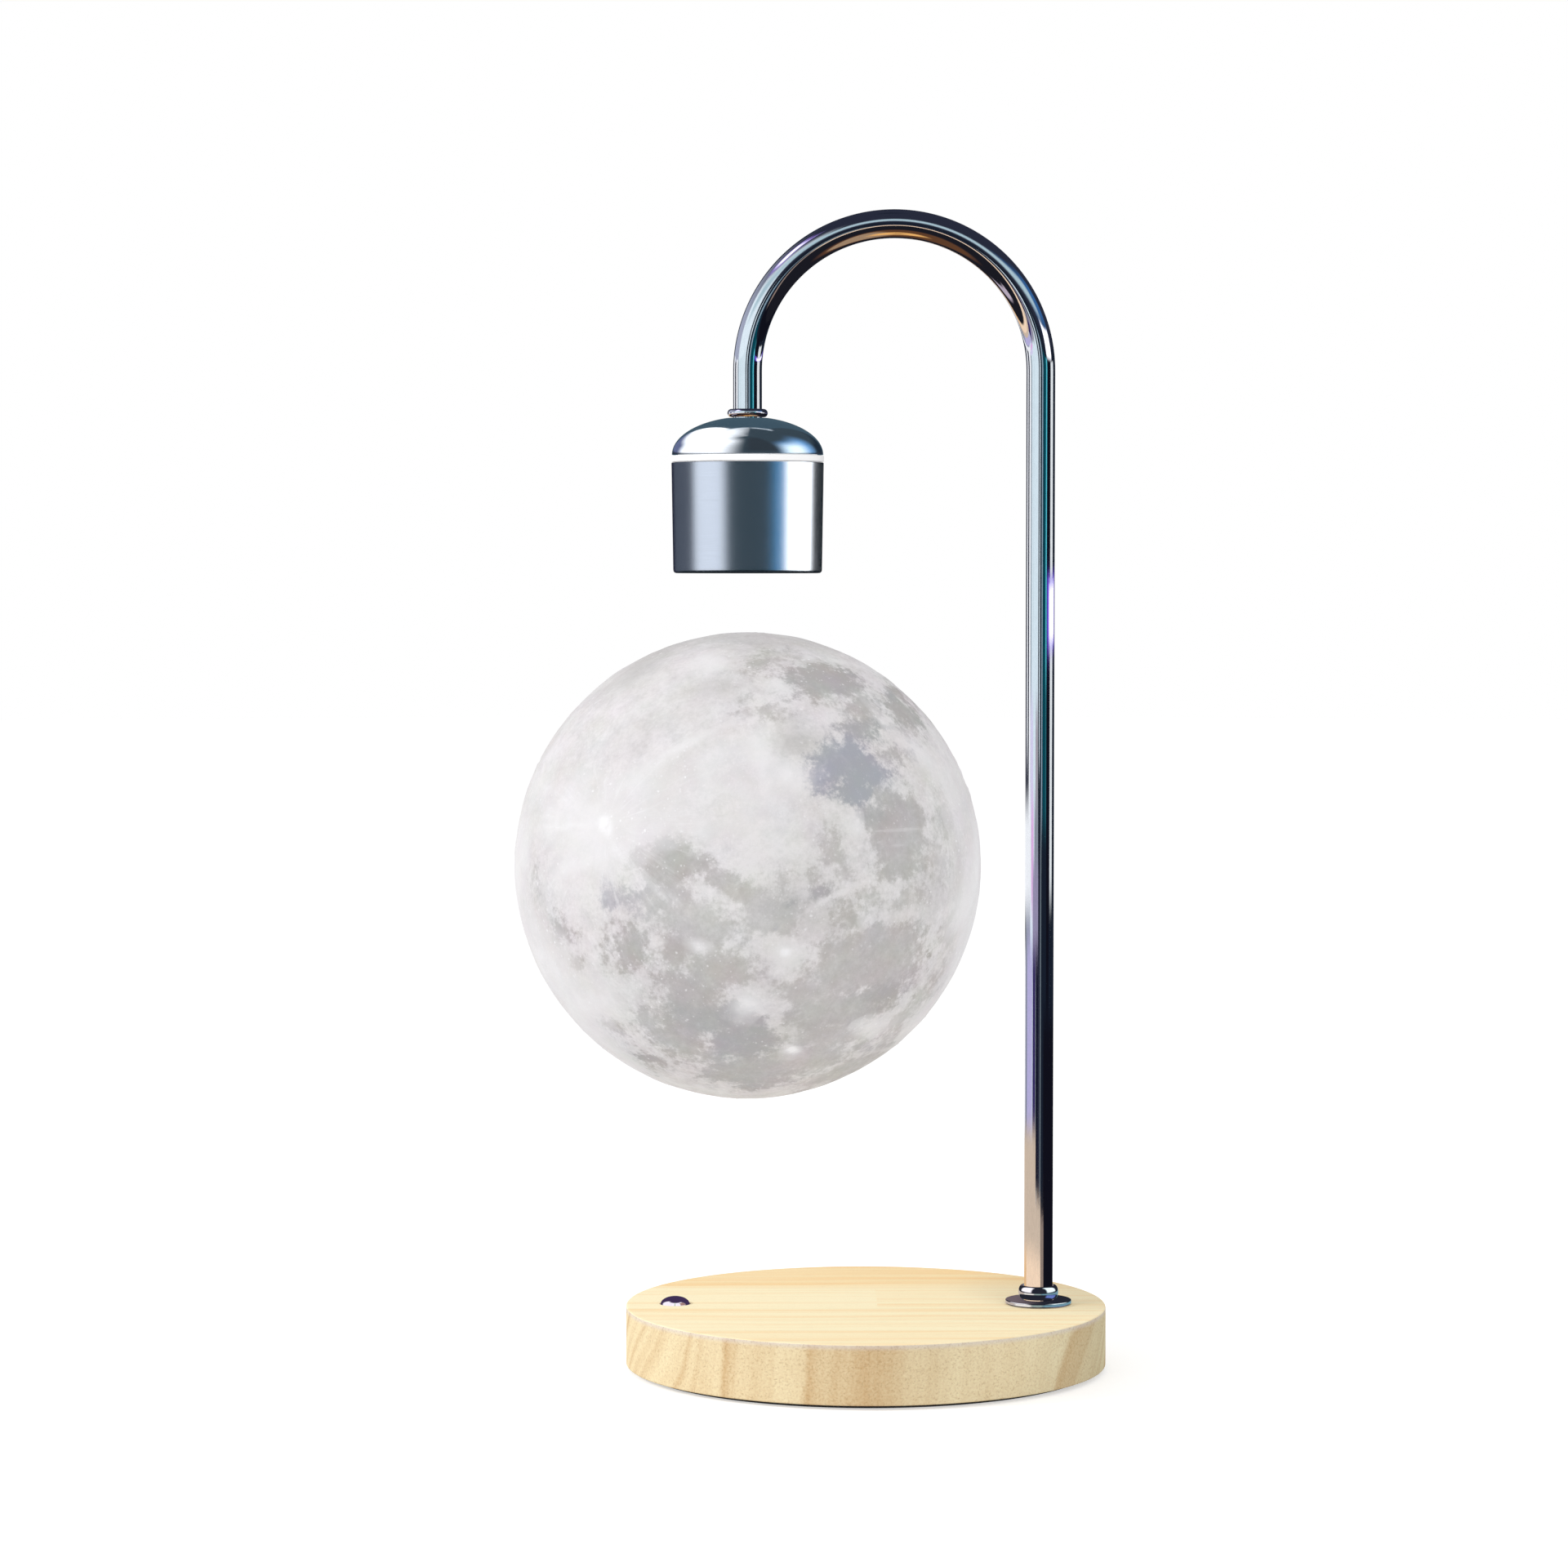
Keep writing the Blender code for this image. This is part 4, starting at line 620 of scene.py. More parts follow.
def grid_faces(rows: int, columns: int, wrap_rows: bool) -> np.ndarray:
    """Corners of a grid's four-sided faces. Its columns close on themselves, and its rows where asked.

    Args:
        rows: Rows of points.
        columns: Points in a row.
        wrap_rows: Whether the last row joins the first.

    Returns:
        One line of four point numbers for each face.
    """
    row, column = np.meshgrid(np.arange(rows if wrap_rows else rows - 1), np.arange(columns), indexing="ij")
    below, right = (row + 1) % rows, (column + 1) % columns
    corners = [row * columns + column, row * columns + right, below * columns + right, below * columns + column]
    return np.stack(corners, axis=-1).reshape(-1, 4)


def smoothed(mesh: bpy.types.Mesh) -> None:
    """Smooth shading with creases where the surface turns sharply."""
    mesh.shade_smooth()
    mesh.set_sharp_from_angle(angle=SHARP)


def skin(name: str, points: np.ndarray, wrap_rows: bool = False) -> bpy.types.Object:
    """An object from a grid of points.

    Args:
        name: The piece's name.
        points: Rows by columns by 3.
        wrap_rows: Whether the last row joins the first.

    Returns:
        The object, with its doubles merged and its faces outwards.
    """
    rows, columns, _ = points.shape
    mesh = bpy.data.meshes.new(name)
    mesh.from_pydata(points.reshape(-1, 3), [], grid_faces(rows, columns, wrap_rows))
    whole = bmesh.new()
    whole.from_mesh(mesh)
    bmesh.ops.remove_doubles(whole, verts=whole.verts, dist=MERGE)
    bmesh.ops.recalc_face_normals(whole, faces=whole.faces)
    whole.to_mesh(mesh)
    whole.free()
    smoothed(mesh)
    made = bpy.data.objects.new(name, mesh)
    bpy.context.scene.collection.objects.link(made)
    return made


def eased(corners: Outline, steps: int = 5, support_share: float = 1.7) -> np.ndarray:
    """An outline with its corners rounded.

    A corner B with ease e becomes the curve (1-t)^2 A + 2 t (1-t) B + t^2 C from A, e before it, to C, e after it.
    A support point beyond each end of the curve keeps the flat next to it flat.

    Args:
        corners: (radius, height, ease) points. An ease of 0 keeps the corner.
        steps: Steps along each curve.
        support_share: How far a support point lies from the corner, in eases.

    Returns:
        (radius, height) points.
    """
    corners = np.asarray(corners, float)
    place, ease = corners[:, :2], corners[:, 2:]

    def heading(other: np.ndarray) -> np.ndarray:
        """Unit steps towards the neighbours."""
        gap = other - place
        return gap / np.maximum(np.linalg.norm(gap, axis=1, keepdims=True), 1e-9)

    back, ahead = heading(np.roll(place, 1, axis=0)), heading(np.roll(place, -1, axis=0))
    share = np.linspace(0, 1, steps + 1)[:, None, None]
    start, end = place + back * ease, place + ahead * ease
    curve = (1 - share) ** 2 * start + 2 * share * (1 - share) * place + share**2 * end
    support = [(place + way * ease * support_share)[None] for way in (back, ahead)]
    points = np.concatenate([support[0], curve, support[1]]).transpose(1, 0, 2).reshape(-1, 2)
    apart = np.linalg.norm(np.diff(points, axis=0), axis=1) > MERGE
    return points[np.concatenate([[True], apart])]


def plain(points: Outline) -> list[tuple[float, float, float]]:
    """Outline points without an ease, for eased."""
    return [(float(radius), float(height), 0.0) for radius, height in points]


def turned(
    name: str, outline: Outline, centre: Sequence[float], sides: int = 192, closed: bool = False
) -> bpy.types.Object:
    """Surface of revolution: outline point (r, h) at turn t lies at centre + (r cos t, r sin t, h).

    Args:
        name: The piece's name.
        outline: (radius, height) points.
        centre: A point on the upright axis.
        sides: Points round a turn.
        closed: Whether the outline closes on itself, as a ring's section does.

    Returns:
        The object.
    """
    radius, height = np.asarray(outline, float).T[:, :, None]
    turn = np.arange(sides) * 2 * pi / sides
    flat = np.broadcast_to(height, (height.shape[0], sides))
    points = np.stack([radius * np.cos(turn), radius * np.sin(turn), flat], axis=-1) + np.asarray(centre, float)
    return skin(name, points, wrap_rows=closed)


def arc(radius: float, start: float, end: float, steps: int) -> np.ndarray:
    """(radius, height) points on a circle about the origin, between two angles above the horizontal."""
    angle = np.linspace(start, end, steps + 1)
    return radius * np.stack([np.cos(angle), np.sin(angle)], axis=-1)


def bored(piece: bpy.types.Object, cutter: bpy.types.Object) -> None:
    """Cuts a cutter out of a piece and deletes it.

    Args:
        piece: What is cut. Its mesh is replaced.
        cutter: A closed shape.
    """
    cut = piece.modifiers.new("cut", "BOOLEAN")
    cut.operation, cut.solver, cut.object = "DIFFERENCE", "EXACT", cutter
    bpy.context.view_layer.update()
    solved = bpy.data.meshes.new_from_object(piece.evaluated_get(bpy.context.evaluated_depsgraph_get()))
    piece.modifiers.clear()
    solved.name = piece.data.name
    piece.data = solved
    smoothed(solved)
    bpy.data.objects.remove(cutter)


def lattice(cell: np.ndarray, seed: int) -> np.ndarray:
    """A repeatable number from 0 to 1 for each whole-number cell, by mixing its three numbers' bits.

    Args:
        cell: Cells by 3, whole numbers.
        seed: Picks another set of numbers.

    Returns:
        One number for each cell.
    """
    mixed = (cell.astype(np.int64) * np.array([374761393, 668265263, 1274126177])).sum(axis=-1) + seed * 974634777
    mixed = (mixed ^ (mixed >> 13)) * 1274126177 & 0xFFFFFFFF
    return ((mixed ^ (mixed >> 16)) & 0xFFFF) / 65535.0


def cloud(points: np.ndarray, scale: float, layers: int, seed: int) -> np.ndarray:
    """Layered value noise.

    Each layer blends the numbers at a cell's eight corners, at twice the last one's scale and half its share.

    Args:
        points: Points by 3.
        scale: Cells per unit in the first layer.
        layers: How many layers.
        seed: Picks another pattern.

    Returns:
        Noise from about -0.5 to 0.5.
    """
    total, share = np.zeros(len(points)), 0.5
    for layer in range(layers):
        scaled = points * scale * 2**layer
        cell = np.floor(scaled)
        inner = scaled - cell
        weight = inner * inner * (3 - 2 * inner)
        value = np.zeros(len(points))
        for corner in np.ndindex(2, 2, 2):
            near = np.where(np.array(corner) == 1, weight, 1 - weight).prod(axis=-1)
            value += near * lattice(cell + corner, seed + layer)
        total += share * (value - 0.5)
        share *= 0.5
    return total


def dress_piece(piece: bpy.types.Object, finish: Finish) -> None:
    """Gives a piece a finish in place of what it has, and hides it from mirror rays.

    The photographed metal shows no mirror image of the lamp itself.

    Args:
        piece: A new piece or a CAD node.
        finish: Its finish.
    """
    piece.data.materials.clear()
    piece.data.materials.append(material(finish))
    piece.visible_glossy = False


class SubAssembly(ABC):
    """A group of pieces that ride on one body."""

    body: Body

    @abstractmethod
    def build(self) -> None:
        """Makes the group's pieces."""

    def fit(self, piece: bpy.types.Object, node: str, finish: Finish | None = None) -> bpy.types.Object:
        """Puts a piece in a node's place, with its body, material slot and finish.

        Args:
            piece: The finished piece.
            node: The CAD node that it stands for.
            finish: Its finish, where it isn't the one of the node's slot.

        Returns:
            The piece.
        """
        slot = SLOTS[node]
        dress_piece(piece, finish or SLOT_FINISHES[slot])
        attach(piece, self.body.value)
        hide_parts(node)
        LOG.info("%s: %d faces in place of %s", piece.name, len(piece.data.polygons), node)
        return piece


@dataclass
class Base(SubAssembly):
    """The wooden disc, its cover and pad, and the power inlet at the back."""

    body: Body = Body.LAMP
    radius: float = BASE_RADIUS
    low: float = 0.0013
    top: float = BASE_TOP
    edge: float = 0.0005
    ceiling: float = 0.0147
    pocket: float = 0.0690
    cover: float = 0.0725
    cover_top: float = 0.0033
    pad: float = 0.07345
    pad_top: float = 0.0010
    pocket_ease: float = 0.001
    button_hole: float = 0.00503
    button_well: float = 0.00623
    well_top: float = 0.0177
    # The inlet, its pin and its hole: radii, and places along their axis from the base's side, which is at 0
    inlet_z: float = 0.0105
    inlet_face: float = -0.0052
    inlet_seat: float = -0.0065
    inlet_flange: float = 0.0050
    inlet_body: float = 0.0036
    inlet_length: float = 0.012
    plug_bore: float = 0.0029
    plug_bore_ease: float = 0.0004
    plug_bore_depth: float = 0.009
    pin: float = 0.001
    pin_root: float = 0.0087
    pin_tip: float = 0.001
    pin_tip_ease: float = 0.0006
    recess: float = 0.0055
    recess_outside: float = 0.002
    inlet_hole: float = 0.0039
    inlet_hole_end: float = -0.0095

    def build(self) -> None:
        """Builds the wood, the cover, the pad and the inlet."""
        self.fit(self.wood(), "wooden_base")
        self.fit(self.plate("bottom_cover", self.cover, self.low, self.cover_top), "base_cover")
        self.fit(self.plate("foam_pad", self.pad, 0.0, self.pad_top), "non_slip_pad")
        self.fit(self.inlet(), "dc_inlet")
        self.fit(self.inlet_pin(), "dc_inlet_pin")

    def wood(self) -> bpy.types.Object:
        """The disc with its pocket, rebate and holes."""
        rebate, ledge = self.cover + GAP, self.cover_top + GAP
        disc = turned("pine_disc", eased([
            (0, self.ceiling, 0), (self.pocket, self.ceiling, self.pocket_ease), (self.pocket, ledge, EASE),
            (rebate, ledge, FINE_EASE), (rebate, self.low, EASE), (self.radius, self.low, self.edge),
            (self.radius, self.top, self.edge), (0, self.top, 0),
        ]), (0, 0, 0), sides=256)
        low, step, high = self.ceiling - OVERRUN, self.well_top, self.top + OVERRUN
        post_hole = self.cutter("post_hole", [(TUBE_HOLE, low), (TUBE_HOLE, high)])
        post_hole.data.transform(Matrix.Translation((POST_X, 0, 0)))
        button_hole = self.cutter("button_hole", [
            (self.button_well, low), (self.button_well, step), (self.button_hole, step), (self.button_hole, high),
        ], BUTTON_X)
        recess = self.cutter("inlet_hole", [
            (self.inlet_hole, self.inlet_hole_end), (self.inlet_hole, self.inlet_seat),
            (self.recess, self.inlet_seat), (self.recess, self.recess_outside),
        ])
        recess.data.transform(self.backwards())
        for cutter in (post_hole, button_hole, recess):
            bored(disc, cutter)
        return disc

    def backwards(self) -> Matrix:
        """The matrix that turns a piece's Z to the back of the base, at the inlet's place."""
        return Matrix.Translation((0, self.radius, self.inlet_z)) @ Matrix.Rotation(-pi / 2, 4, "X")

    @staticmethod
    def cutter(name: str, side: Outline, x: float = 0.0) -> bpy.types.Object:
        """A round cutter about an upright axis.

        Args:
            name: Its name.
            side: (radius, height) points from its lower end to its upper end.
            x: Where the axis stands.

        Returns:
            The cutter, closed by flat ends.
        """
        return turned(name, [(0, side[0][1]), *side, (0, side[-1][1])], (x, 0, 0), sides=64)

    @staticmethod
    def plate(name: str, radius: float, low: float, high: float) -> bpy.types.Object:
        """A thin disc whose edges are eased by a share of its thickness."""
        ease = (high - low) * 0.3
        outline = eased([(0, low, 0), (radius, low, ease), (radius, high, ease), (0, high, 0)])
        return turned(name, outline, (0, 0, 0), sides=192)

    def inlet(self) -> bpy.types.Object:
        """The round inlet with its flange and bore."""
        face, seat, end = self.inlet_face, GAP + self.inlet_seat, self.inlet_face - self.inlet_length
        floor = face - self.plug_bore_depth
        piece = turned("power_inlet", eased([
            (0, end, 0), (self.inlet_body, end, WIDE_EASE), (self.inlet_body, seat, FINE_EASE),
            (self.inlet_flange, seat, FINE_EASE), (self.inlet_flange, face, WIDE_EASE),
            (self.plug_bore, face, self.plug_bore_ease), (self.plug_bore, floor, EASE), (0, floor, 0),
        ]), (0, 0, 0), sides=96)
        piece.data.transform(self.backwards())
        return piece

    def inlet_pin(self) -> bpy.types.Object:
        """The inlet's centre pin, with a rounded tip."""
        low, tip = self.inlet_face - self.pin_root, self.inlet_face - self.pin_tip
        outline = eased([(0, low, 0), (self.pin, low, FINE_EASE), (self.pin, tip, self.pin_tip_ease), (0, tip, 0)])
        piece = turned("inlet_pin", outline, (0, 0, 0), sides=48)
        piece.data.transform(self.backwards())
        return piece


@dataclass
class PushButton(SubAssembly):
    """The chromed button on the base."""

    body: Body = Body.BUTTON
    radius: float = 0.00463
    dome: float = 0.0024
    shoulder: float = 0.00583
    shoulder_top: float = 0.0174
    shoulder_low: float = 0.0164
    stem: float = 0.0016

    def build(self) -> None:
        """The domed cap on its shoulder and stem."""
        low = float(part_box("button_cap")[0].z)
        curve = arc(1.0, 0.0, pi / 2, 24) * (self.radius, self.dome) + (0, BASE_TOP)
        piece = turned("button_dome", eased([
            (0, low, 0), (self.stem, low, EASE), (self.stem, self.shoulder_low, EASE),
            (self.shoulder, self.shoulder_low, EASE), (self.shoulder, self.shoulder_top, EASE),
            (self.radius, self.shoulder_top, FINE_EASE), *plain(curve),
        ]), (BUTTON_X, 0, 0), sides=96)
        self.fit(piece, "button_cap")


@dataclass
class Stem(SubAssembly):
    """The bent tube, and the flange and collar at its foot."""

    body: Body = Body.LAMP
    radius: float = 0.0046
    wall: float = 0.0010
    bend: float = 0.04685
    bend_z: float = 0.3202
    past_nut: float = 0.0008
    bend_points: int = 97
    sides: int = 96
    flange: float = 0.0106
    flange_height: float = 0.0012
    collar: float = 0.0064
    collar_height: float = 0.0043

    def build(self) -> None:
        """Builds the tube, the flange and the collar."""
        low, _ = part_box("stem_tube")
        leg_low = float(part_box("head_nut")[0].z) - self.past_nut
        self.fit(self.tube(float(low.z), leg_low), "stem_tube")
        bottom = BASE_TOP + GAP
        top = bottom + self.flange_height
        flange = turned("foot_plate", eased([
            (TUBE_HOLE, bottom, FINE_EASE), (self.flange, bottom, EASE), (self.flange, top, WIDE_EASE),
            (TUBE_HOLE, top, FINE_EASE),
        ]), (POST_X, 0, 0), closed=True)
        self.fit(flange, "foot_flange")
        bead = bead_ring("foot_bead", self.collar, top + GAP, self.collar_height, (POST_X, 0, 0))
        self.fit(bead, "foot_collar")

    def tube(self, post_low: float, leg_low: float) -> bpy.types.Object:
        """The tube swept along the post, the half circle and the leg.

        With the bend's turn T at a point of the path, ring angle a and tube radius r, a point lies at the path's point
        + (r cos a cos T, r sin a, r cos a sin T). The inside runs back the same way.

        Args:
            post_low: The post's lower end.
            leg_low: The leg's lower end.

        Returns:
            The tube.
        """
        turn = np.concatenate([[0, 0], np.linspace(0, pi, self.bend_points), [pi, pi]])
        x = POST_X - self.bend * (1 - np.cos(turn))
        z = self.bend_z + self.bend * np.sin(turn)
        z[:2] = post_low, (post_low + self.bend_z) / 2
        z[-2:] = (leg_low + self.bend_z) / 2, leg_low
        angle = np.arange(self.sides) * 2 * pi / self.sides
        walls = []
        for radius, order in ((self.radius, 1), (self.radius - self.wall, -1)):
            outward = radius * np.cos(angle)
            across = np.broadcast_to(radius * np.sin(angle), (len(turn), len(angle)))
            ways = [x[:, None] + outward * np.cos(turn)[:, None], across, z[:, None] + outward * np.sin(turn)[:, None]]
            walls.append(np.stack(ways, axis=-1)[::order])
        return skin("bent_tube", np.concatenate(walls), wrap_rows=True)


def bead_ring(name: str, radius: float, low: float, height: float, centre: Sequence[float]) -> bpy.types.Object:
    """A collar round the tube, whose outside is half an ellipse between two flat ends.

    Args:
        name: The piece's name.
        radius: Its outside radius.
        low: Its lower end.
        height: Its height.
        centre: A point on its axis.

    Returns:
        The collar.
    """
    land = TUBE_HOLE + BEAD_LAND
    bulge = arc(1.0, -pi / 2, pi / 2, 24) * (radius - land, height / 2) + (land, low + height / 2)
    return turned(name, [(TUBE_HOLE, low), *bulge, (TUBE_HOLE, low + height)], centre, sides=128, closed=True)


@dataclass
class Head(SubAssembly):
    """The lamp head that hangs from the leg."""

    body: Body = Body.LAMP
    wall: float = 0.0012
    barrel_low: float = 0.2557
    barrel_top: float = 0.2910
    low_radius: float = 0.0238
    top_radius: float = 0.02435
    low_ease: float = 0.0012
    lip: float = 0.0205
    ring: float = 0.0244
    ring_ease: float = 0.00025
    ring_low: float = 0.2913
    ring_top: float = 0.2932
    # The ring's spigot: its play in the dome and the barrel, its inner side, and its reach below and above the ring
    spigot_play: float = 0.0002
    spigot_inside: float = 0.0017
    spigot_down: float = 0.002
    spigot_up: float = 0.0015
    dome: float = 0.0242
    dome_low: float = 0.2935
    dome_height: float = 0.0117
    dome_flat: float = 0.0068
    collar: float = 0.00645
    collar_height: float = 0.0026

    def build(self) -> None:
        """Builds the collar, the dome, the white band and the barrel."""
        centre = (HEAD_X, 0, 0)
        head_top = self.dome_low + self.dome_height
        collar = bead_ring("head_bead", self.collar, head_top + GAP, self.collar_height, centre)
        self.fit(collar, "head_collar")
        self.fit(turned("dome_shell", self.dome_outline(head_top), centre, closed=True), "head_dome", SPUN)
        socket = self.dome - self.wall - GAP
        outer, inner = socket - self.spigot_play, socket - self.spigot_inside
        upper = outer - self.spigot_play
        low, high = self.ring_low - self.spigot_down, self.ring_top + self.spigot_up
        band = turned("white_band", eased([
            (inner, low, EASE), (outer, low, EASE), (outer, self.ring_low, 0),
            (self.ring, self.ring_low, self.ring_ease), (self.ring, self.ring_top, self.ring_ease),
            (upper, self.ring_top, 0), (upper, high, EASE), (inner, high, EASE),
        ]), centre, closed=True)
        self.fit(band, "light_ring", RING)
        inner_low = self.barrel_low + self.wall
        barrel = turned("satin_barrel", eased([
            (self.lip, self.barrel_low, WIDE_EASE), (self.low_radius, self.barrel_low, self.low_ease),
            (self.top_radius, self.barrel_top, EASE), (self.top_radius - self.wall, self.barrel_top, EASE),
            (self.low_radius - self.wall, inner_low, WIDE_EASE), (self.lip, inner_low, EASE),
        ]), centre, closed=True)
        self.fit(barrel, "head_barrel")

    def dome_outline(self, head_top: float) -> np.ndarray:
        """Outside of the dome down to its rim, and its inside back up.

        Both are the ellipse radius = R cos t, height = H sin t, cut where the radius is that of the flat on top.

        Args:
            head_top: The height of the flat.

        Returns:
            (radius, height) points of the closed section.
        """
        curves = []
        for radius, height in ((self.dome, self.dome_height), (self.dome - self.wall, self.dome_height - self.wall)):
            last = acos(self.dome_flat / radius)
            curve = arc(1.0, 0.0, last, 40) * (radius, height / sin(last)) + (0, self.dome_low)
            curves.append(plain(curve))
        flat = [(TUBE_HOLE, head_top, FINE_EASE), (TUBE_HOLE, head_top - self.wall, FINE_EASE)]
        return eased([*curves[0], *flat, *reversed(curves[1])])


@dataclass
class Globe(SubAssembly):
    """The moon: a relief of seas, craters and rays on a thin shell, and the cap in its top."""

    body: Body = Body.MOON
    z: float = 0.1620
    radius: float = 0.0750
    wall: float = 0.0016
    opening: float = 0.0220
    skirt_wall: float = 0.0016
    skirt_depth: float = 0.0035
    relief_room: float = 0.00025
    sea_depth: float = 0.00022
    rough_height: float = 0.00040
    columns: int = 400
    rows: int = 180
    seed: int = 7
    sight: tuple[float, float, float] = (-0.0080, 0.9977, -0.0675)
    # The print: how far noise bends it, where the front fades out, the coasts' sharpness and the far side's share
    broad_warp: float = 0.085
    fine_warp: float = 0.038
    fade_start: float = -0.40
    fade_width: float = 0.38
    coast_gain: float = 5.0
    tone_fall: float = 6.0
    far_seas: int = 34
    far_mist: float = 0.9
    # The craters: their count, angular radii and their law, their reach in radii, depths and rims
    craters: int = 520
    crater_least: float = 0.016
    crater_spread: float = 0.985
    crater_power: float = -0.42
    crater_reach: float = 1.8
    crater_depth: float = 0.00020
    crater_deepest: float = 1.6
    crater_usual: float = 0.03
    rim_width: float = 0.22

    # Least and greatest values for the far side's random seas, in the order of SEAS
    FAR_RANGES = ((-0.8, 0.8), (-0.8, 0.8), (0.03, 0.17), (0.03, 0.12), (-60, 60), (0.4, 1.0), (-1, 0.8))

    # Centre across and up, half width, half height, tilt in degrees, tone and blueness of each sea, in shares of
    # the radius as the globe is seen from the front
    SEAS = (
        (0.325, 0.760, 0.175, 0.082, -18, 0.96, 0.1), (0.400, 0.790, 0.060, 0.050, -30, 1.00, 0.2),
        (0.360, 0.680, 0.085, 0.036, -10, 0.70, 0), (0.065, 0.842, 0.048, 0.028, 0, 0.72, 0),
        (0.210, 0.870, 0.110, 0.020, 0, 0.45, 0), (0.080, 0.650, 0.088, 0.058, -10, 0.68, 0),
        (0.640, 0.668, 0.130, 0.062, -46, 0.98, 0.1), (0.600, 0.715, 0.052, 0.042, -40, 1.08, 0.3),
        (0.460, 0.565, 0.095, 0.042, -5, 1.00, 0.5), (0.410, 0.620, 0.045, 0.040, 0, 0.75, 0.2),
        (0.420, 0.420, 0.150, 0.110, -10, 1.05, 1), (0.440, 0.300, 0.085, 0.055, 0, 1.10, 1),
        (0.300, 0.385, 0.045, 0.080, 10, 0.90, 1), (0.600, 0.455, 0.062, 0.034, -30, 0.80, 0.3),
        (0.620, 0.120, 0.118, 0.175, 0, 0.80, 0), (0.620, 0.260, 0.105, 0.045, -25, 0.90, 0),
        (0.635, 0.000, 0.110, 0.060, 0, 0.82, 0), (0.530, 0.290, 0.040, 0.050, 0, 0.80, 0.4),
        (0.345, 0.060, 0.040, 0.080, 8, 0.62, 0), (0.375, -0.030, 0.070, 0.028, 0, 0.62, 0),
        (0.300, -0.105, 0.038, 0.016, 10, 1.15, 0.3), (0.165, -0.145, 0.026, 0.022, 0, 1.25, 0.6),
        (0.110, -0.250, 0.017, 0.017, 0, 0.75, 0.6), (0.140, -0.050, 0.028, 0.028, 0, 0.50, 0),
        (-0.300, 0.005, 0.160, 0.088, 0, 0.82, 0), (-0.330, 0.085, 0.052, 0.032, 0, 0.62, 0.4),
        (-0.420, 0.040, 0.040, 0.028, 0, 0.62, 0), (-0.270, -0.040, 0.045, 0.022, 0, 1.05, 0),
        (-0.110, -0.070, 0.130, 0.052, -28, 0.78, 0), (-0.330, -0.130, 0.120, 0.055, -10, 0.62, 0.2),
        (-0.220, -0.205, 0.130, 0.070, 0, 0.62, 0), (-0.560, -0.130, 0.045, 0.055, 0, 0.70, 1),
        (-0.470, -0.130, 0.036, 0.065, 40, 0.60, 0.8), (-0.430, -0.200, 0.034, 0.020, 0, 0.60, 0.7),
        (0.090, -0.190, 0.105, 0.090, 0, 0.46, 0.2), (-0.170, -0.275, 0.170, 0.050, 0, 0.66, 0),
        (-0.505, -0.330, 0.100, 0.105, -10, 0.95, 0), (-0.490, -0.400, 0.066, 0.036, 0, 1.05, 0),
        (-0.400, -0.375, 0.046, 0.040, 0, 0.62, 0), (-0.300, -0.360, 0.080, 0.100, 0, 0.82, 0),
        (-0.110, -0.430, 0.150, 0.090, 0, 0.66, 0), (-0.230, -0.510, 0.150, 0.090, -8, 0.80, 0),
        (-0.170, -0.640, 0.160, 0.085, 0, 0.92, 0.4), (-0.270, -0.720, 0.130, 0.095, -20, 0.86, 0),
        (-0.020, -0.740, 0.150, 0.110, 0, 0.98, 0.4), (0.030, -0.865, 0.215, 0.070, 0, 0.86, 0.2),
        (0.230, -0.815, 0.180, 0.075, 8, 0.72, 0), (0.300, -0.720, 0.160, 0.050, 0, 0.60, 0),
        (-0.420, -0.620, 0.050, 0.060, 20, 0.66, 0.2), (0.340, -0.605, 0.210, 0.075, 8, 0.78, 0),
        (0.490, -0.410, 0.230, 0.150, 0, 0.76, 0), (0.540, -0.545, 0.135, 0.070, 24, 1.02, 0.2),
        (0.250, -0.510, 0.120, 0.060, 0, 0.64, 0), (0.620, -0.320, 0.105, 0.075, 10, 0.80, 0),
        (0.405, -0.205, 0.050, 0.052, 0, 0.84, 0), (0.560, -0.275, 0.090, 0.040, 0, 0.72, 0),
        (0.380, -0.885, 0.190, 0.045, 24, 0.58, 0), (0.500, -0.765, 0.095, 0.012, 3, 0.62, 0.3),
        (0.880, -0.080, 0.022, 0.110, 0, 0.30, 0), (0.830, -0.320, 0.026, 0.100, -15, 0.42, 0),
        (0.770, -0.490, 0.028, 0.085, -30, 0.46, 0), (0.640, -0.665, 0.024, 0.110, -42, 0.46, 0),
        (0.755, -0.380, 0.014, 0.019, 0, 1.20, 0), (0.650, -0.130, 0.062, 0.042, 0, 0.50, 0),
        (0.520, -0.110, 0.030, 0.028, 0, 0.62, 0), (0.810, 0.215, 0.034, 0.055, 0, 0.42, 0),
        (0.790, 0.020, 0.040, 0.080, 0, 0.34, 0), (-0.870, -0.040, 0.024, 0.046, 0, 0.42, 0),
        (-0.800, -0.270, 0.016, 0.028, 0, 0.85, 0), (-0.740, -0.290, 0.008, 0.010, 0, 1.00, 0),
        (-0.720, -0.410, 0.008, 0.010, 0, 0.80, 0), (-0.420, -0.797, 0.030, 0.015, -20, 1.20, 0.2),
        (-0.380, -0.856, 0.012, 0.006, 0, 0.90, 0), (-0.560, -0.680, 0.030, 0.007, -30, 0.70, 0),
        (-0.010, 0.640, 0.014, 0.036, 0, 0.42, 0), (0.450, 0.650, 0.105, 0.055, 10, 0.78, 0.2),
        (0.530, 0.215, 0.085, 0.050, -30, 0.92, 0.5),
    )

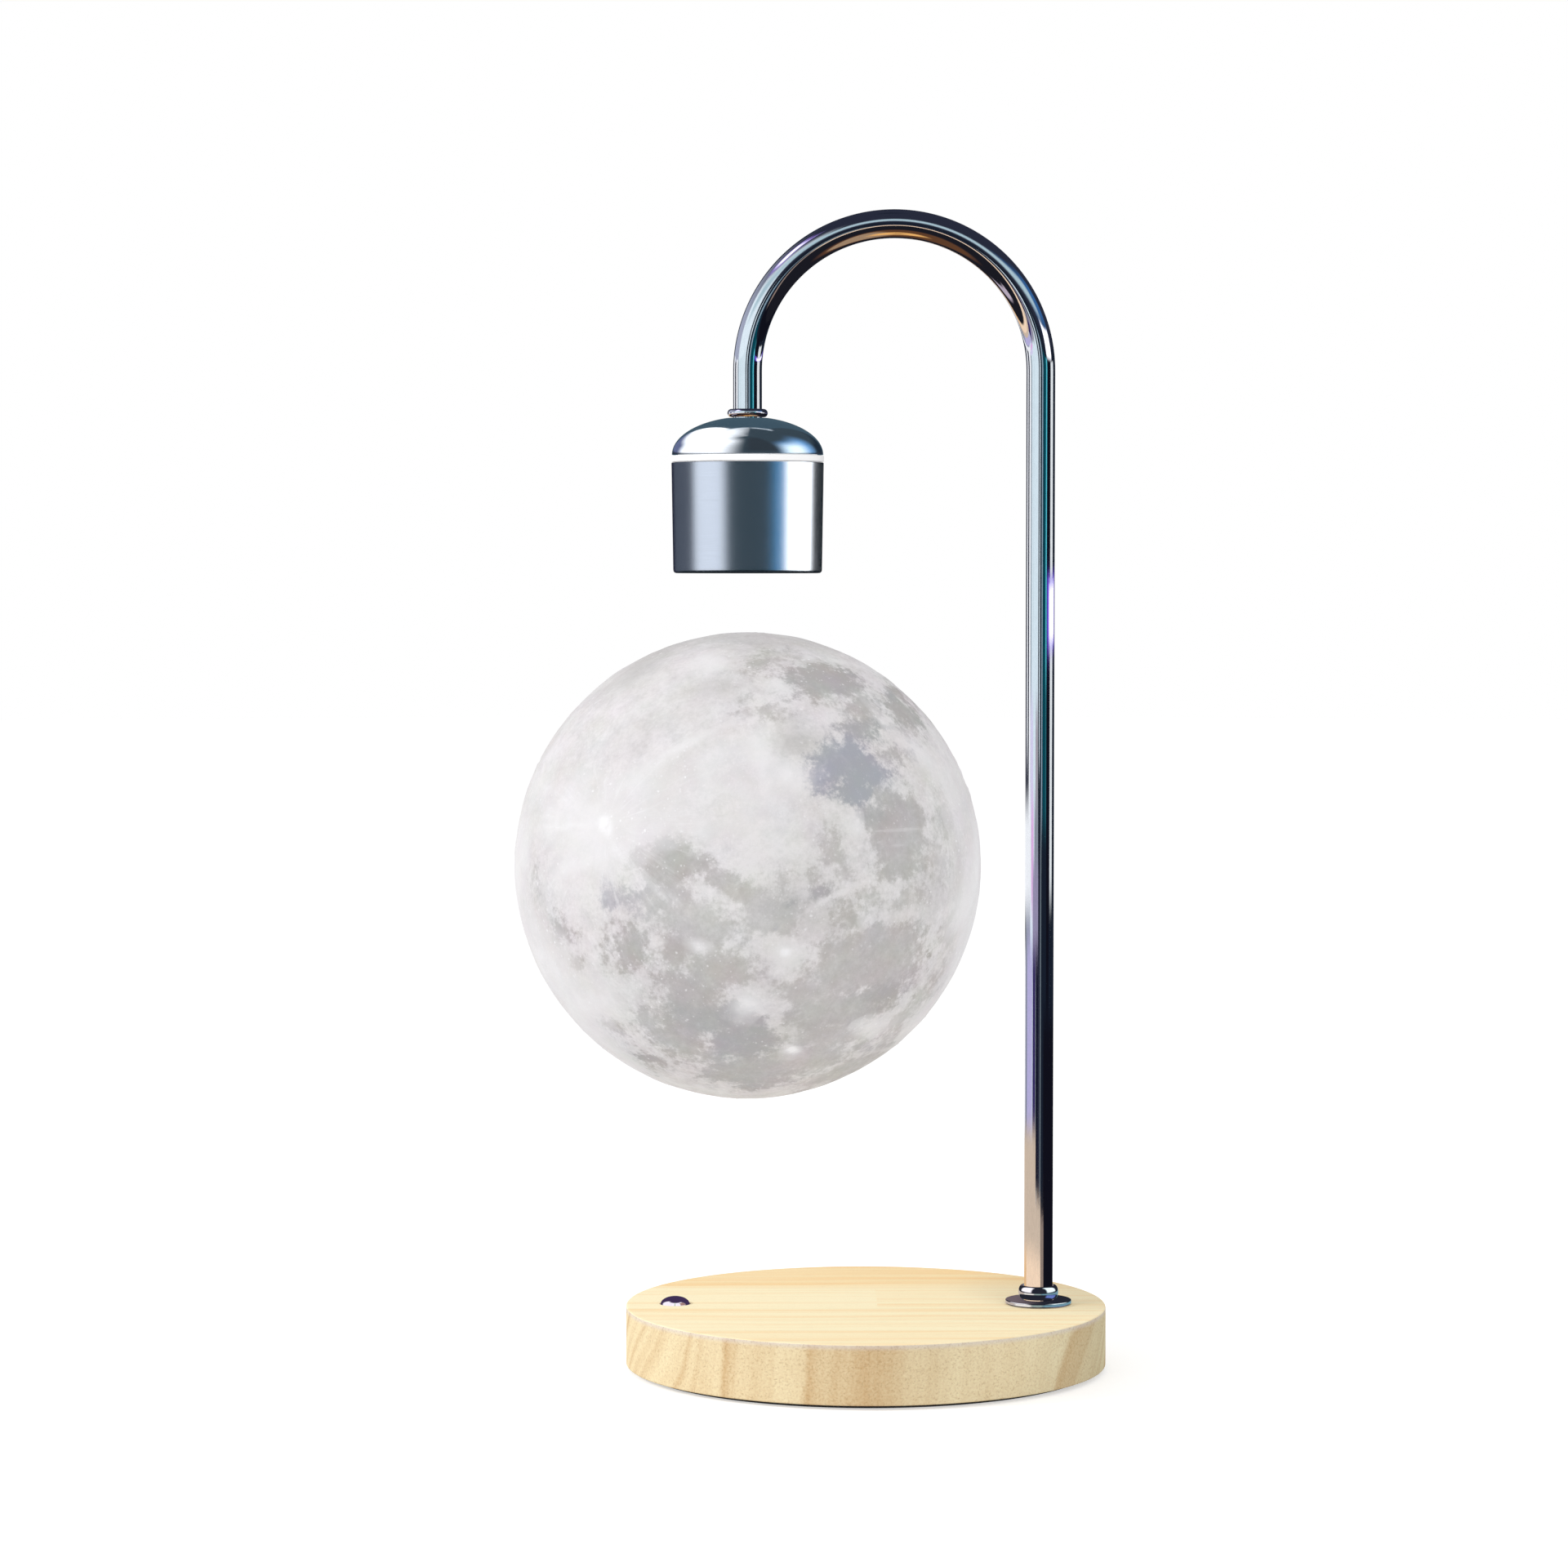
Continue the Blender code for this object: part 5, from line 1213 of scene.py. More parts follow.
    # Centre across and up, half width, half height, tilt in degrees and gain of each soft patch: bright where the
    # gain is above 0 and dark where it is below. Most are print; a few at the limb are painted light and painted shade.
    MISTS = (
        (-0.588, 0.165, 0.026, 0.030, 0, 1.50), (-0.588, 0.165, 0.011, 0.012, 0, -1.10),
        (-0.588, 0.165, 0.230, 0.190, 0, 0.36), (-0.588, 0.165, 0.042, 0.048, 0, -0.22),
        (-0.330, 0.140, 0.230, 0.120, 0, 0.24), (-0.480, 0.010, 0.150, 0.014, -50, 0.34),
        (-0.740, 0.162, 0.110, 0.010, 0, 0.30), (-0.230, 0.510, 0.230, 0.014, 26, 0.30),
        (-0.400, 0.400, 0.200, 0.020, 33, 0.20), (-0.800, 0.300, 0.160, 0.030, -30, 0.12),
        (-0.750, -0.020, 0.180, 0.030, 25, 0.22), (0.150, -0.355, 0.020, 0.018, 0, 1.20),
        (0.150, -0.380, 0.090, 0.110, 0, 0.34), (-0.010, -0.580, 0.044, 0.036, 0, 0.62),
        (-0.010, -0.600, 0.100, 0.090, 0, 0.26), (0.185, -0.768, 0.034, 0.017, 10, 1.40),
        (0.200, -0.790, 0.090, 0.030, 15, 0.30), (-0.150, 0.860, 0.060, 0.048, 0, 0.50),
        (-0.060, 0.330, 0.330, 0.220, 0, 0.10), (0.060, 0.470, 0.050, 0.070, 0, 0.38),
        (0.190, 0.360, 0.080, 0.070, 0, 0.34), (0.260, 0.875, 0.036, 0.016, 0, 0.60),
        (-0.650, -0.580, 0.090, 0.070, 0, 0.46), (-0.820, -0.440, 0.080, 0.260, 28, 0.40),
        (-0.560, -0.860, 0.060, 0.260, 52, 0.60), (0.900, -0.450, 0.050, 0.260, -28, 0.62),
        (0.985, 0.000, 0.030, 0.250, 0, 0.55), (0.720, -0.700, 0.040, 0.140, -42, 0.45),
        (0.500, -0.680, 0.110, 0.042, 10, 0.40), (0.465, -0.230, 0.040, 0.056, 0, 0.45),
        (-0.200, -0.335, 0.060, 0.026, -10, 0.50), (-0.360, -0.320, 0.024, 0.020, 0, 0.55),
        (0.330, 0.620, 0.050, 0.040, 0, 0.34), (0.540, 0.620, 0.020, 0.120, 42, 0.34),
        (0.700, 0.480, 0.060, 0.120, 30, 0.22), (0.450, 0.180, 0.030, 0.060, 0, 0.42),
        (-0.350, -0.120, 0.014, 0.050, 40, 0.40), (-0.140, -0.120, 0.090, 0.014, -32, 0.36),
        (0.330, -0.140, 0.170, 0.012, 28, 0.34), (-0.980, 0.000, 0.030, 0.300, 0, 0.25),
        (0.620, 0.150, 0.120, 0.006, 4, 0.30), (0.600, 0.090, 0.110, 0.006, -6, 0.24),
        # These two darken the top limb: painted shade.
        (0.100, 0.960, 0.700, 0.070, 0, -0.34), (-0.470, 0.830, 0.200, 0.060, 34, -0.62),
        (-0.330, 0.600, 0.300, 0.130, 30, -0.24), (0.140, -0.130, 0.110, 0.070, 0, -0.40),
        (0.200, 0.500, 0.110, 0.055, 8, -0.60), (0.170, 0.590, 0.070, 0.060, 0, -0.30),
        (-0.120, 0.760, 0.160, 0.060, 0, -0.22),
        (0.760, 0.080, 0.070, 0.180, 0, -0.14), (0.740, -0.120, 0.100, 0.080, 0, -0.20),
        (-0.160, 0.240, 0.130, 0.060, 0, -0.20), (0.260, -0.700, 0.140, 0.080, 0, -0.42),
        (0.120, -0.480, 0.160, 0.110, 0, -0.24), (-0.420, -0.200, 0.240, 0.110, 0, -0.20),
        (0.350, -0.230, 0.260, 0.100, 0, -0.28), (0.120, -0.580, 0.480, 0.330, 0, -0.10),
        # These two brighten the right limb against the shading of the light from the left: painted light.
        (0.930, -0.200, 0.070, 0.220, 0, 0.60), (0.860, 0.280, 0.060, 0.120, 0, 0.30),
        (0.470, 0.300, 0.260, 0.420, 0, -0.12), (-0.100, -0.880, 0.300, 0.060, 0, -0.20),
        (0.450, -0.840, 0.200, 0.050, 28, -0.30), (-0.300, -0.560, 0.160, 0.100, 0, -0.16),
        (-0.860, -0.080, 0.050, 0.120, 0, -0.20), (-0.300, 0.060, 0.240, 0.110, 0, -0.20),
    )

    def build(self) -> None:
        """Builds the shell and the cap."""
        rim, bore = self.radius - self.relief_room, self.radius - self.wall
        shell_edge, bore_edge = acos(self.opening / rim), acos(self.opening / bore)
        outside = arc(rim, -pi / 2, shell_edge, self.rows)
        centre = (HEAD_X, 0, self.z)
        shell = turned("moon_skin", [*outside, *arc(bore, bore_edge, -pi / 2, 24)], centre, self.columns)
        self.fit(self.carved(shell), "moon_shell")
        cap_radius = self.opening - GAP
        cap_bore = cap_radius - self.skirt_wall
        skirt_low = bore * sin(bore_edge) - self.skirt_depth
        crown = arc(rim, pi / 2, acos(cap_radius / rim), 20)
        under = arc(bore, acos(cap_bore / bore), pi / 2, 6)
        cap = turned("moon_crown", [*crown, (cap_radius, skirt_low), (cap_bore, skirt_low), *under], centre,
                     self.columns)
        self.fit(self.carved(cap), "moon_cap")

    def carved(self, piece: bpy.types.Object) -> bpy.types.Object:
        """Carves the relief into a piece's outside and stores the seas and rays as attributes.

        Args:
            piece: A part of the globe.

        Returns:
            The same piece.
        """
        mesh = piece.data
        count = len(mesh.vertices)
        flat = np.empty(count * 3)
        mesh.vertices.foreach_get("co", flat)
        middle = np.array([HEAD_X, 0, self.z])
        offset = flat.reshape(-1, 3) - middle
        distance = np.linalg.norm(offset, axis=1)
        way = offset / distance[:, None]
        coast, tone, blue, mist = self.fields(way)
        outer = distance > self.radius - self.relief_room - 1e-5
        height = self.relief(way, coast)
        offset[outer] = way[outer] * (distance + height)[outer, None]
        mesh.vertices.foreach_set("co", (offset + middle).ravel())
        sea = mesh.attributes.new("sea", "FLOAT_COLOR", "POINT")
        inside = np.clip(0.5 + coast * self.coast_gain, 0, 1)
        packed = np.stack([inside, tone, blue, np.ones(count)], axis=-1)
        sea.data.foreach_set("color", packed.ravel().astype(np.float32))
        soft = mesh.attributes.new("mist", "FLOAT", "POINT")
        soft.data.foreach_set("value", mist.astype(np.float32))
        mesh.update()
        return piece

    def frontal(self, way: np.ndarray) -> tuple[np.ndarray, np.ndarray, np.ndarray]:
        """Where each direction lies as seen from the front.

        Args:
            way: Unit directions by 3.

        Returns:
            The shares across, up and towards the viewer.
        """
        sight = np.array(self.sight) / np.linalg.norm(self.sight)
        right = np.cross(sight, [0, 0, 1.0])
        right /= np.linalg.norm(right)
        upward = np.cross(right, sight)
        return way @ right, way @ upward, -(way @ sight)

    def fields(self, way: np.ndarray) -> tuple[np.ndarray, np.ndarray, np.ndarray, np.ndarray]:
        """Seas and mists over the globe, on places that noise has bent first.

        A sea is an ellipse with q = sqrt(u^2 + v^2) in its own half widths, and its coast is at (1 - q) times its
        mean half width. The nearest seas share their tone and blueness by e^(-tone_fall q). A mist is gain times
        e^(-q^2).
        Past the edge of the front, its seas and mists fade into those of the far side, so that no seam shows.

        Args:
            way: Unit directions by 3.

        Returns:
            The share inside the nearest coast, the tone, the blueness and the mist.
        """
        warp = np.stack([cloud(way, 6.0, 5, seed) for seed in (11, 23)]) * self.broad_warp
        warp += np.stack([cloud(way, 30.0, 3, seed) for seed in (31, 43)]) * self.fine_warp
        across, up, near = self.frontal(way)
        seen = np.clip((near - self.fade_start) / self.fade_width, 0, 1)
        seen = seen * seen * (3 - 2 * seen)
        place = np.stack([across, up]) + warp
        maker = np.random.default_rng(self.seed)
        rear = np.column_stack([maker.uniform(*ends, self.far_seas) for ends in self.FAR_RANGES])
        rear[:, -1] = rear[:, -1].clip(0, 1)
        front, back = self.waters(np.array(self.SEAS), place), self.waters(rear, place)
        coast, tone, blue = front * seen + back * (1 - seen)
        mists = np.array(self.MISTS)
        calm = np.stack([across, up]) + warp * 0.5
        rear_mist = cloud(way, 3.5, 4, 91) * self.far_mist
        mist = np.exp(-self.ellipse(mists, calm) ** 2) @ mists[:, 5] * seen + rear_mist * (1 - seen)
        return coast, tone, blue, np.clip(mist, -1, 1)

    def waters(self, seas: np.ndarray, place: np.ndarray) -> np.ndarray:
        """Coast, tone and blueness of some seas, by the formulas in fields.

        Args:
            seas: Ellipses in rows, as in SEAS.
            place: Two rows: places across and up.

        Returns:
            Three rows, one value a place.
        """
        q = self.ellipse(seas, place)
        share = np.exp(-self.tone_fall * q)
        total = share.sum(axis=1) + 1e-12
        coast = ((1 - q) * np.sqrt(seas[:, 2] * seas[:, 3])).max(axis=1)
        return np.stack([coast, (share @ seas[:, 5]) / total, (share @ seas[:, 6]) / total])

    @staticmethod
    def ellipse(shapes: np.ndarray, place: np.ndarray) -> np.ndarray:
        """Distance from each shape's centre in its own half widths.

        Args:
            shapes: Ellipses in rows, as in SEAS and MISTS.
            place: Two rows: places across and up.

        Returns:
            Places by shapes.
        """
        centre_x, centre_z, wide, high, tilt = shapes.T[:5]
        turn = np.radians(tilt)
        over, above = place[0][:, None] - centre_x, place[1][:, None] - centre_z
        u = (over * np.cos(turn) + above * np.sin(turn)) / wide
        v = (above * np.cos(turn) - over * np.sin(turn)) / high
        return np.sqrt(u**2 + v**2)

    def relief(self, way: np.ndarray, coast: np.ndarray) -> np.ndarray:
        """Height of the ground: rough highlands, flat low seas, and craters with raised rims.

        With s the distance from a crater's centre in its radii, the floor is depth (s^2 - 1) inside, and the rim adds
        depth e^(-((s - 1) / rim_width)^2) / 2.

        Args:
            way: Unit directions by 3.
            coast: The share inside the nearest coast.

        Returns:
            Heights in metres, at most the room left for them.
        """
        wet = np.clip(coast * 14 + 0.5, 0, 1)
        height = cloud(way, 9.0, 5, 77) * self.rough_height * (1 - 0.75 * wet) - self.sea_depth * wet
        maker = np.random.default_rng(self.seed + 1)
        axes = maker.normal(size=(self.craters, 3))
        axes /= np.linalg.norm(axes, axis=1, keepdims=True)
        sizes = self.crater_least * (1 - maker.uniform(0, self.crater_spread, self.craters)) ** self.crater_power
        for axis, size in zip(axes, sizes):
            gap = np.arccos(np.clip(way @ axis, -1, 1)) / size
            near = gap < self.crater_reach
            local = gap[near]
            depth = self.crater_depth * min(self.crater_deepest, size / self.crater_usual)
            bowl = np.where(local < 1, local**2 - 1, 0) * depth
            rim = 0.5 * depth * np.exp(-(((local - 1) / self.rim_width) ** 2))
            height[near] += (bowl + rim) * (1 - 0.6 * wet[near])
        return np.minimum(height, self.relief_room - 1e-6)


@dataclass(frozen=True)
class Panel:
    """One flag or soft box of a room that reflections see.

    Its sides are degrees round from the camera's side, positive to the right, and its ends degrees above the floor.
    """

    sides: tuple[float, float]
    ends: tuple[float, float]
    colour: Colour
    soft_sides: float = 2.0
    soft_ends: float = 2.0

    def over(self, look: Look, behind: Any, around: Value, above: Value) -> bpy.types.NodeSocket:
        """Paints the panel over a colour.

        Args:
            look: The room's tree.
            behind: The colour that is there.
            around, above: The two angles in degrees.

        Returns:
            The new colour.
        """
        shown = look.band(around, self.sides, self.soft_sides) * look.band(above, self.ends, self.soft_ends)
        return look.blend(shown, behind, self.colour)


SLATE: Colour = (0.024, 0.028, 0.050)
BLACK_FLAG: Colour = (0.006, 0.006, 0.012)
PALE_CYAN: Colour = (0.76, 0.89, 0.97)
SOFT_WHITE: Colour = (0.98, 1.00, 1.04)
GREY_BLUE: Colour = (0.26, 0.38, 0.47)
TEAL: Colour = (0.002, 0.065, 0.095)
CYAN: Colour = (0.10, 0.58, 0.70)
LILAC: Colour = (0.52, 0.48, 0.78)
VIOLET: Colour = (0.040, 0.028, 0.125)
CREAM: Colour = (0.68, 0.54, 0.42)
COPPER_GLOW: Colour = (0.40, 0.26, 0.16)
SATIN_WHITE: Colour = (1.60, 1.65, 1.72)
HOT_WHITE: Colour = (2.10, 2.16, 2.24)
SATIN_SLATE: Colour = (0.050, 0.076, 0.098)


class Share(Enum):
    """Whether a room shows in its pieces only, or in all others."""

    ONLY = "INCLUDE"
    OTHERS = "EXCLUDE"


@dataclass
class MirrorRoom:
    """A large ball round the lamp, painted with studio panels, which only mirror rays see.

    The rooms lie inside one another, and those shown in a few pieces only are clear, so that each piece reflects the
    panels of its own room alone.
    """

    name: str
    radius: float
    plain: Colour
    share: Share
    pieces: tuple[str, ...]
    panels: tuple[Panel, ...] = ()
    rings: int = 32
    sides: int = 64

    def build(self) -> None:
        """The ball: height -r cos t, radius r sin t for t from 0 to pi, with the panels painted by direction."""
        sweep = arc(self.radius, -pi / 2, pi / 2, self.rings)
        ball = turned(self.name, sweep, (0, 0, 0), self.sides)
        ball.visible_camera = ball.visible_diffuse = ball.visible_shadow = ball.visible_transmission = False
        ball.data.materials.append(self.painted())
        shown_in = bpy.data.collections.new(self.name)
        for piece in self.pieces:
            shown_in.objects.link(bpy.data.objects[piece])
        for entry in shown_in.collection_objects:
            entry.light_linking.link_state = self.share.value
        ball.light_linking.receiver_collection = shown_in

    def painted(self) -> bpy.types.Material:
        """The panels as light. A room for a few pieces adds it to what lies behind."""
        made = bpy.data.materials.new(self.name)
        made.use_nodes = True
        made.cycles.emission_sampling = "NONE"
        look = Look(made.node_tree)
        _, x, y, z = look.place()
        around = look.math("ARCTAN2", x, 0.0 - y) * (180 / pi)
        above = look.math("ARCTAN2", z, (x * x + y * y) ** 0.5) * (180 / pi)
        colour: Any = self.plain
        for panel in self.panels:
            colour = panel.over(look, colour, around, above)
        glow = look.node("ShaderNodeEmission", None, {"Color": colour, "Strength": 1.0}).outputs[0]
        if self.share is Share.ONLY:
            clear = look.node("ShaderNodeBsdfTransparent").outputs[0]
            glow = look.node("ShaderNodeAddShader", None, {0: clear, 1: glow}).outputs[0]
        look.node("ShaderNodeOutputMaterial", None, {"Surface": glow})
        return made


TUBE_PANELS = (
    # ceiling, paler at the left, the line along the crown, and the two spots on the bend
    Panel((-181, 181), (12, 91), SLATE, 0.5, 8), Panel((-152, -16), (-30, 62), (0.42, 0.45, 0.58), 22, 42),
    Panel((-86, -14), (-30, 54), (0.84, 0.96, 1.04), 8, 22), Panel((36, 106), (16, 50), (0.04, 0.14, 0.36), 14, 14),
    Panel((-70, 74), (21, 44), (0.46, 0.62, 0.70), 16, 9),
    Panel((-106, -50), (42, 66), (0.30, 0.22, 0.62), 6, 6), Panel((-98, -58), (46, 62), (1.40, 1.34, 1.65), 8, 5),
    Panel((47, 97), (11, 24), (1.60, 1.60, 1.70), 5, 3),
    # left: two thin boxes, the broad pale box and a thin one at the middle
    Panel((-181, -76), (-1, 12), SLATE, 1, 1),
    Panel((-137, -119), (0.6, 13), SOFT_WHITE, 1.5, 1), Panel((-104, -86), (-1, 13), SOFT_WHITE, 1, 1),
    Panel((-86, -78), (-1, 13), (0.34, 0.42, 0.48), 1, 1), Panel((-78, -19), (-1, 13), PALE_CYAN, 2, 1),
    Panel((-60, -56), (3, 13), (0.60, 0.74, 0.80), 1, 1), Panel((-10, -3), (0.6, 13), PALE_CYAN, 1, 1),
    # right: grey-blue, teal and cyan lines, black, and a pale box
    Panel((8, 18), (-0.5, 12), GREY_BLUE, 1, 1), Panel((20, 40), (-0.5, 12), TEAL, 2, 1),
    Panel((40, 51), (-0.5, 12), (0.02, 0.15, 0.19), 2, 1), Panel((40, 51), (2.4, 12), CYAN, 2, 1),
    Panel((82, 113), (-1.8, 12), (0.84, 0.88, 0.90), 2, 1), Panel((53, 79), (-4, 12), BLACK_FLAG, 1, 1),
    # the oval spot at the right, white with a violet rim
    Panel((48, 152), (3.3, 5.1), (0.20, 0.10, 0.85), 16, 0.4),
    Panel((64, 142), (3.5, 4.9), (1.40, 1.36, 1.60), 16, 0.3),
    # lower post: lilac and violet at the left, black at the right, then cream towards the foot
    Panel((-87, -57), (-1, 2.6), (0.74, 0.71, 0.94), 2, 1), Panel((-38, -16), (-1, 2.6), (0.40, 0.37, 0.42), 2, 1),
    Panel((-181, -78), (-2.2, 0.8), SOFT_WHITE, 1, 1), Panel((-75, -50), (-2.2, 0.8), (0.82, 0.50, 0.84), 3, 1),
    Panel((-46, -13), (-2.2, 0.8), (0.28, 0.31, 0.37), 2, 1),
    Panel((-181, -144), (-6.6, -1.8), (0.85, 0.84, 0.92), 1, 1), Panel((-118, -58), (-6.6, -1.8), LILAC, 2, 1),
    Panel((-60, -10), (-3.4, -0.4), (0.34, 0.30, 0.46), 4, 0.8), Panel((-58, -30), (-6.9, -2.0), VIOLET, 4, 0.8),
    Panel((-34, 4), (-7.6, -1.9), (0.007, 0.008, 0.022), 6, 0.9), Panel((-12, 6), (-7.6, -0.2), SLATE, 3, 0.9),
    Panel((3, 13), (-7.6, 1), (0.16, 0.20, 0.23), 2, 1), Panel((30, 178), (-16, -3.0), BLACK_FLAG, 4, 1),
    Panel((-181, -26), (-16, -5.5), CREAM, 4, 0.7), Panel((-60, 14), (-16, -6.8), CREAM, 2, 0.5),
    Panel((12, 40), (-16, -7.1), (0.30, 0.225, 0.19), 4, 0.4),
    Panel((-181, 16), (-16, -7.8), (1.02, 0.76, 0.55), 4, 0.7),
    Panel((-181, -112), (-16, -7.8), (0.86, 0.54, 0.28), 16, 0.7),
    # straight behind: a pale strip, which shows at the very edges of the tube
    Panel((170, 181), (4, 16), (0.36, 0.44, 0.50), 2, 2), Panel((-181, -170), (4, 16), (0.36, 0.44, 0.50), 2, 2),
    # below: dark, and copper straight under the bend
    Panel((-181, 181), (-50, -11), (0.012, 0.012, 0.018), 0.5, 2),
    Panel((-130, -70), (-34, -22), (0.55, 0.46, 0.56), 6, 4),
    Panel((-181, 181), (-91, -44), (0.13, 0.055, 0.026), 0.5, 12), Panel((10, 175), (-88, -53), COPPER_GLOW, 20, 4),
    Panel((-181, 181), (-91, -72), (0.95, 0.50, 0.16), 0.5, 8),
)

DOME_PANELS = (
    # the dark middle, the broad white at the left over a violet wedge, and the blue and white spot at the right
    Panel((-14, 62), (12, 90), (0.040, 0.054, 0.069), 22, 14), Panel((-190, -4), (-30, 84), SATIN_WHITE, 50, 22),
    Panel((-190, -40), (20, 96), SATIN_WHITE, 60, 32), Panel((-172, -100), (22, 64), SATIN_WHITE, 6, 10),
    Panel((-190, -112), (-30, 38), (0.15, 0.18, 0.33), 26, 14),
    Panel((44, 140), (-30, 66), (0.25, 0.55, 1.00), 34, 26), Panel((46, 120), (-30, 58), (1.25, 1.46, 1.52), 34, 30),
    Panel((126, 186), (-30, 36), (0.018, 0.032, 0.052), 16, 14),
    # a dark horizon, which keeps the outline against white from every side
    Panel((-190, 190), (-91, 12.5), (0.030, 0.040, 0.060), 1, 4),
    # the crisp line, and the slot straight behind that ends in it
    Panel((-181, -154), (59.4, 62.8), (0.70, 0.80, 0.90), 5, 0.7),
    Panel((154, 181), (59.4, 62.8), (0.70, 0.80, 0.90), 5, 0.7),
    Panel((163, 181), (-4, 60.5), (0.062, 0.110, 0.150), 1, 0.5),
    Panel((-181, -161.5), (-4, 60.5), (0.062, 0.110, 0.150), 1, 0.5),
)

BARREL_PANELS = (
    # from the left: navy edge, violet grey, pale band, blue edge and white box, black edge
    Panel((-70, 70), (-16, 60), SATIN_SLATE, 2, 10), Panel((-181, -140), (-16, 60), (0.014, 0.014, 0.034), 6, 10),
    Panel((-152, -88), (-16, 60), (0.085, 0.102, 0.138), 8, 10),
    Panel((-98, -26), (-16, 60), (0.88, 0.96, 1.09), 18, 10),
    Panel((29, 84), (-16, 60), (0.045, 0.27, 0.56), 24, 10), Panel((52, 112), (-16, 60), HOT_WHITE, 20, 10),
    Panel((84, 119), (-16, 60), HOT_WHITE, 6, 10), Panel((116, 181), (-16, 60), (0.008, 0.012, 0.016), 5, 10),
)

FOOT_PANELS = (
    # the flange's rim from the left: tan, pale, grey green and teal
    Panel((-190, -85), (-16, -3), (0.60, 0.50, 0.44), 20, 3), Panel((-105, -15), (-16, -3), (0.98, 0.92, 0.86), 20, 3),
    Panel((-35, 25), (-16, -3), (0.31, 0.40, 0.38), 20, 3), Panel((5, 190), (-16, -3), (0.18, 0.34, 0.42), 20, 3),
    # the bead's two white highlights, and violet blue under the right one
    Panel((-128, -38), (-2, 75), (1.20, 1.14, 1.20), 14, 10), Panel((44, 122), (-2, 75), (1.10, 1.26, 1.30), 14, 10),
    Panel((40, 130), (-44, -14), (0.15, 0.22, 0.60), 16, 6),
    # straight behind, which the left of the flange's top reflects
    Panel((175.5, 190), (2, 18), (0.17, 0.13, 0.15), 0.6, 2), Panel((-190, -170), (2, 18), (0.17, 0.13, 0.15), 0.6, 2),
)

BUTTON_PANELS = (
    # white in front with a thin green line, and brown at the right
    Panel((-125, 100), (-30, 70), (1.12, 1.02, 1.14), 20, 14), Panel((-9, 5), (-30, 70), (0.62, 0.72, 0.56), 4, 10),
    Panel((38, 100), (-12, 60), (0.42, 0.24, 0.22), 14, 14),
)

ROOMS = (
    MirrorRoom("tube_room", 3.0, (0.010, 0.015, 0.028), Share.OTHERS,
               ("dome_shell", "satin_barrel", "pine_disc", "foot_bead", "foot_plate", "button_dome"), TUBE_PANELS),
    MirrorRoom("dome_room", 2.95, SATIN_SLATE, Share.ONLY, ("dome_shell",), DOME_PANELS),
    MirrorRoom("barrel_room", 2.92, (0.012, 0.018, 0.024), Share.ONLY, ("satin_barrel",), BARREL_PANELS),
    MirrorRoom("wood_room", 2.9, (0.86, 0.70, 0.46), Share.ONLY, ("pine_disc",)),
    MirrorRoom("foot_room", 2.85, (0.020, 0.022, 0.034), Share.ONLY, ("foot_bead", "foot_plate"), FOOT_PANELS),
    MirrorRoom("button_room", 2.82, (0.060, 0.035, 0.100), Share.ONLY, ("button_dome",), BUTTON_PANELS),
)


@dataclass(frozen=True)
class AreaLamp:
    """A square lamp aimed at the middle of the object: the length of its side, and its power in watts."""

    name: str
    place: tuple[float, float, float]
    size: float
    power: float
    aim: tuple[float, float, float] = (0, 0, 0.16)

    def build(self) -> None:
        """Hangs the lamp in the scene."""
        data = bpy.data.lights.new(self.name, "AREA")
        data.size, data.energy = self.size, self.power
        light = bpy.data.objects.new(self.name, data)
        light.location = self.place
        way = Vector(self.aim) - Vector(self.place)
        light.rotation_euler = way.to_track_quat("-Z", "Y").to_euler()
        light.visible_glossy = False
        bpy.context.scene.collection.objects.link(light)


LAMPS = (
    AreaLamp("key", (-1.35, -0.35, 0.90), 0.24, 13.8),
    AreaLamp("fill", (0.9, -1.6, 0.7), 1.2, 6.2),
)


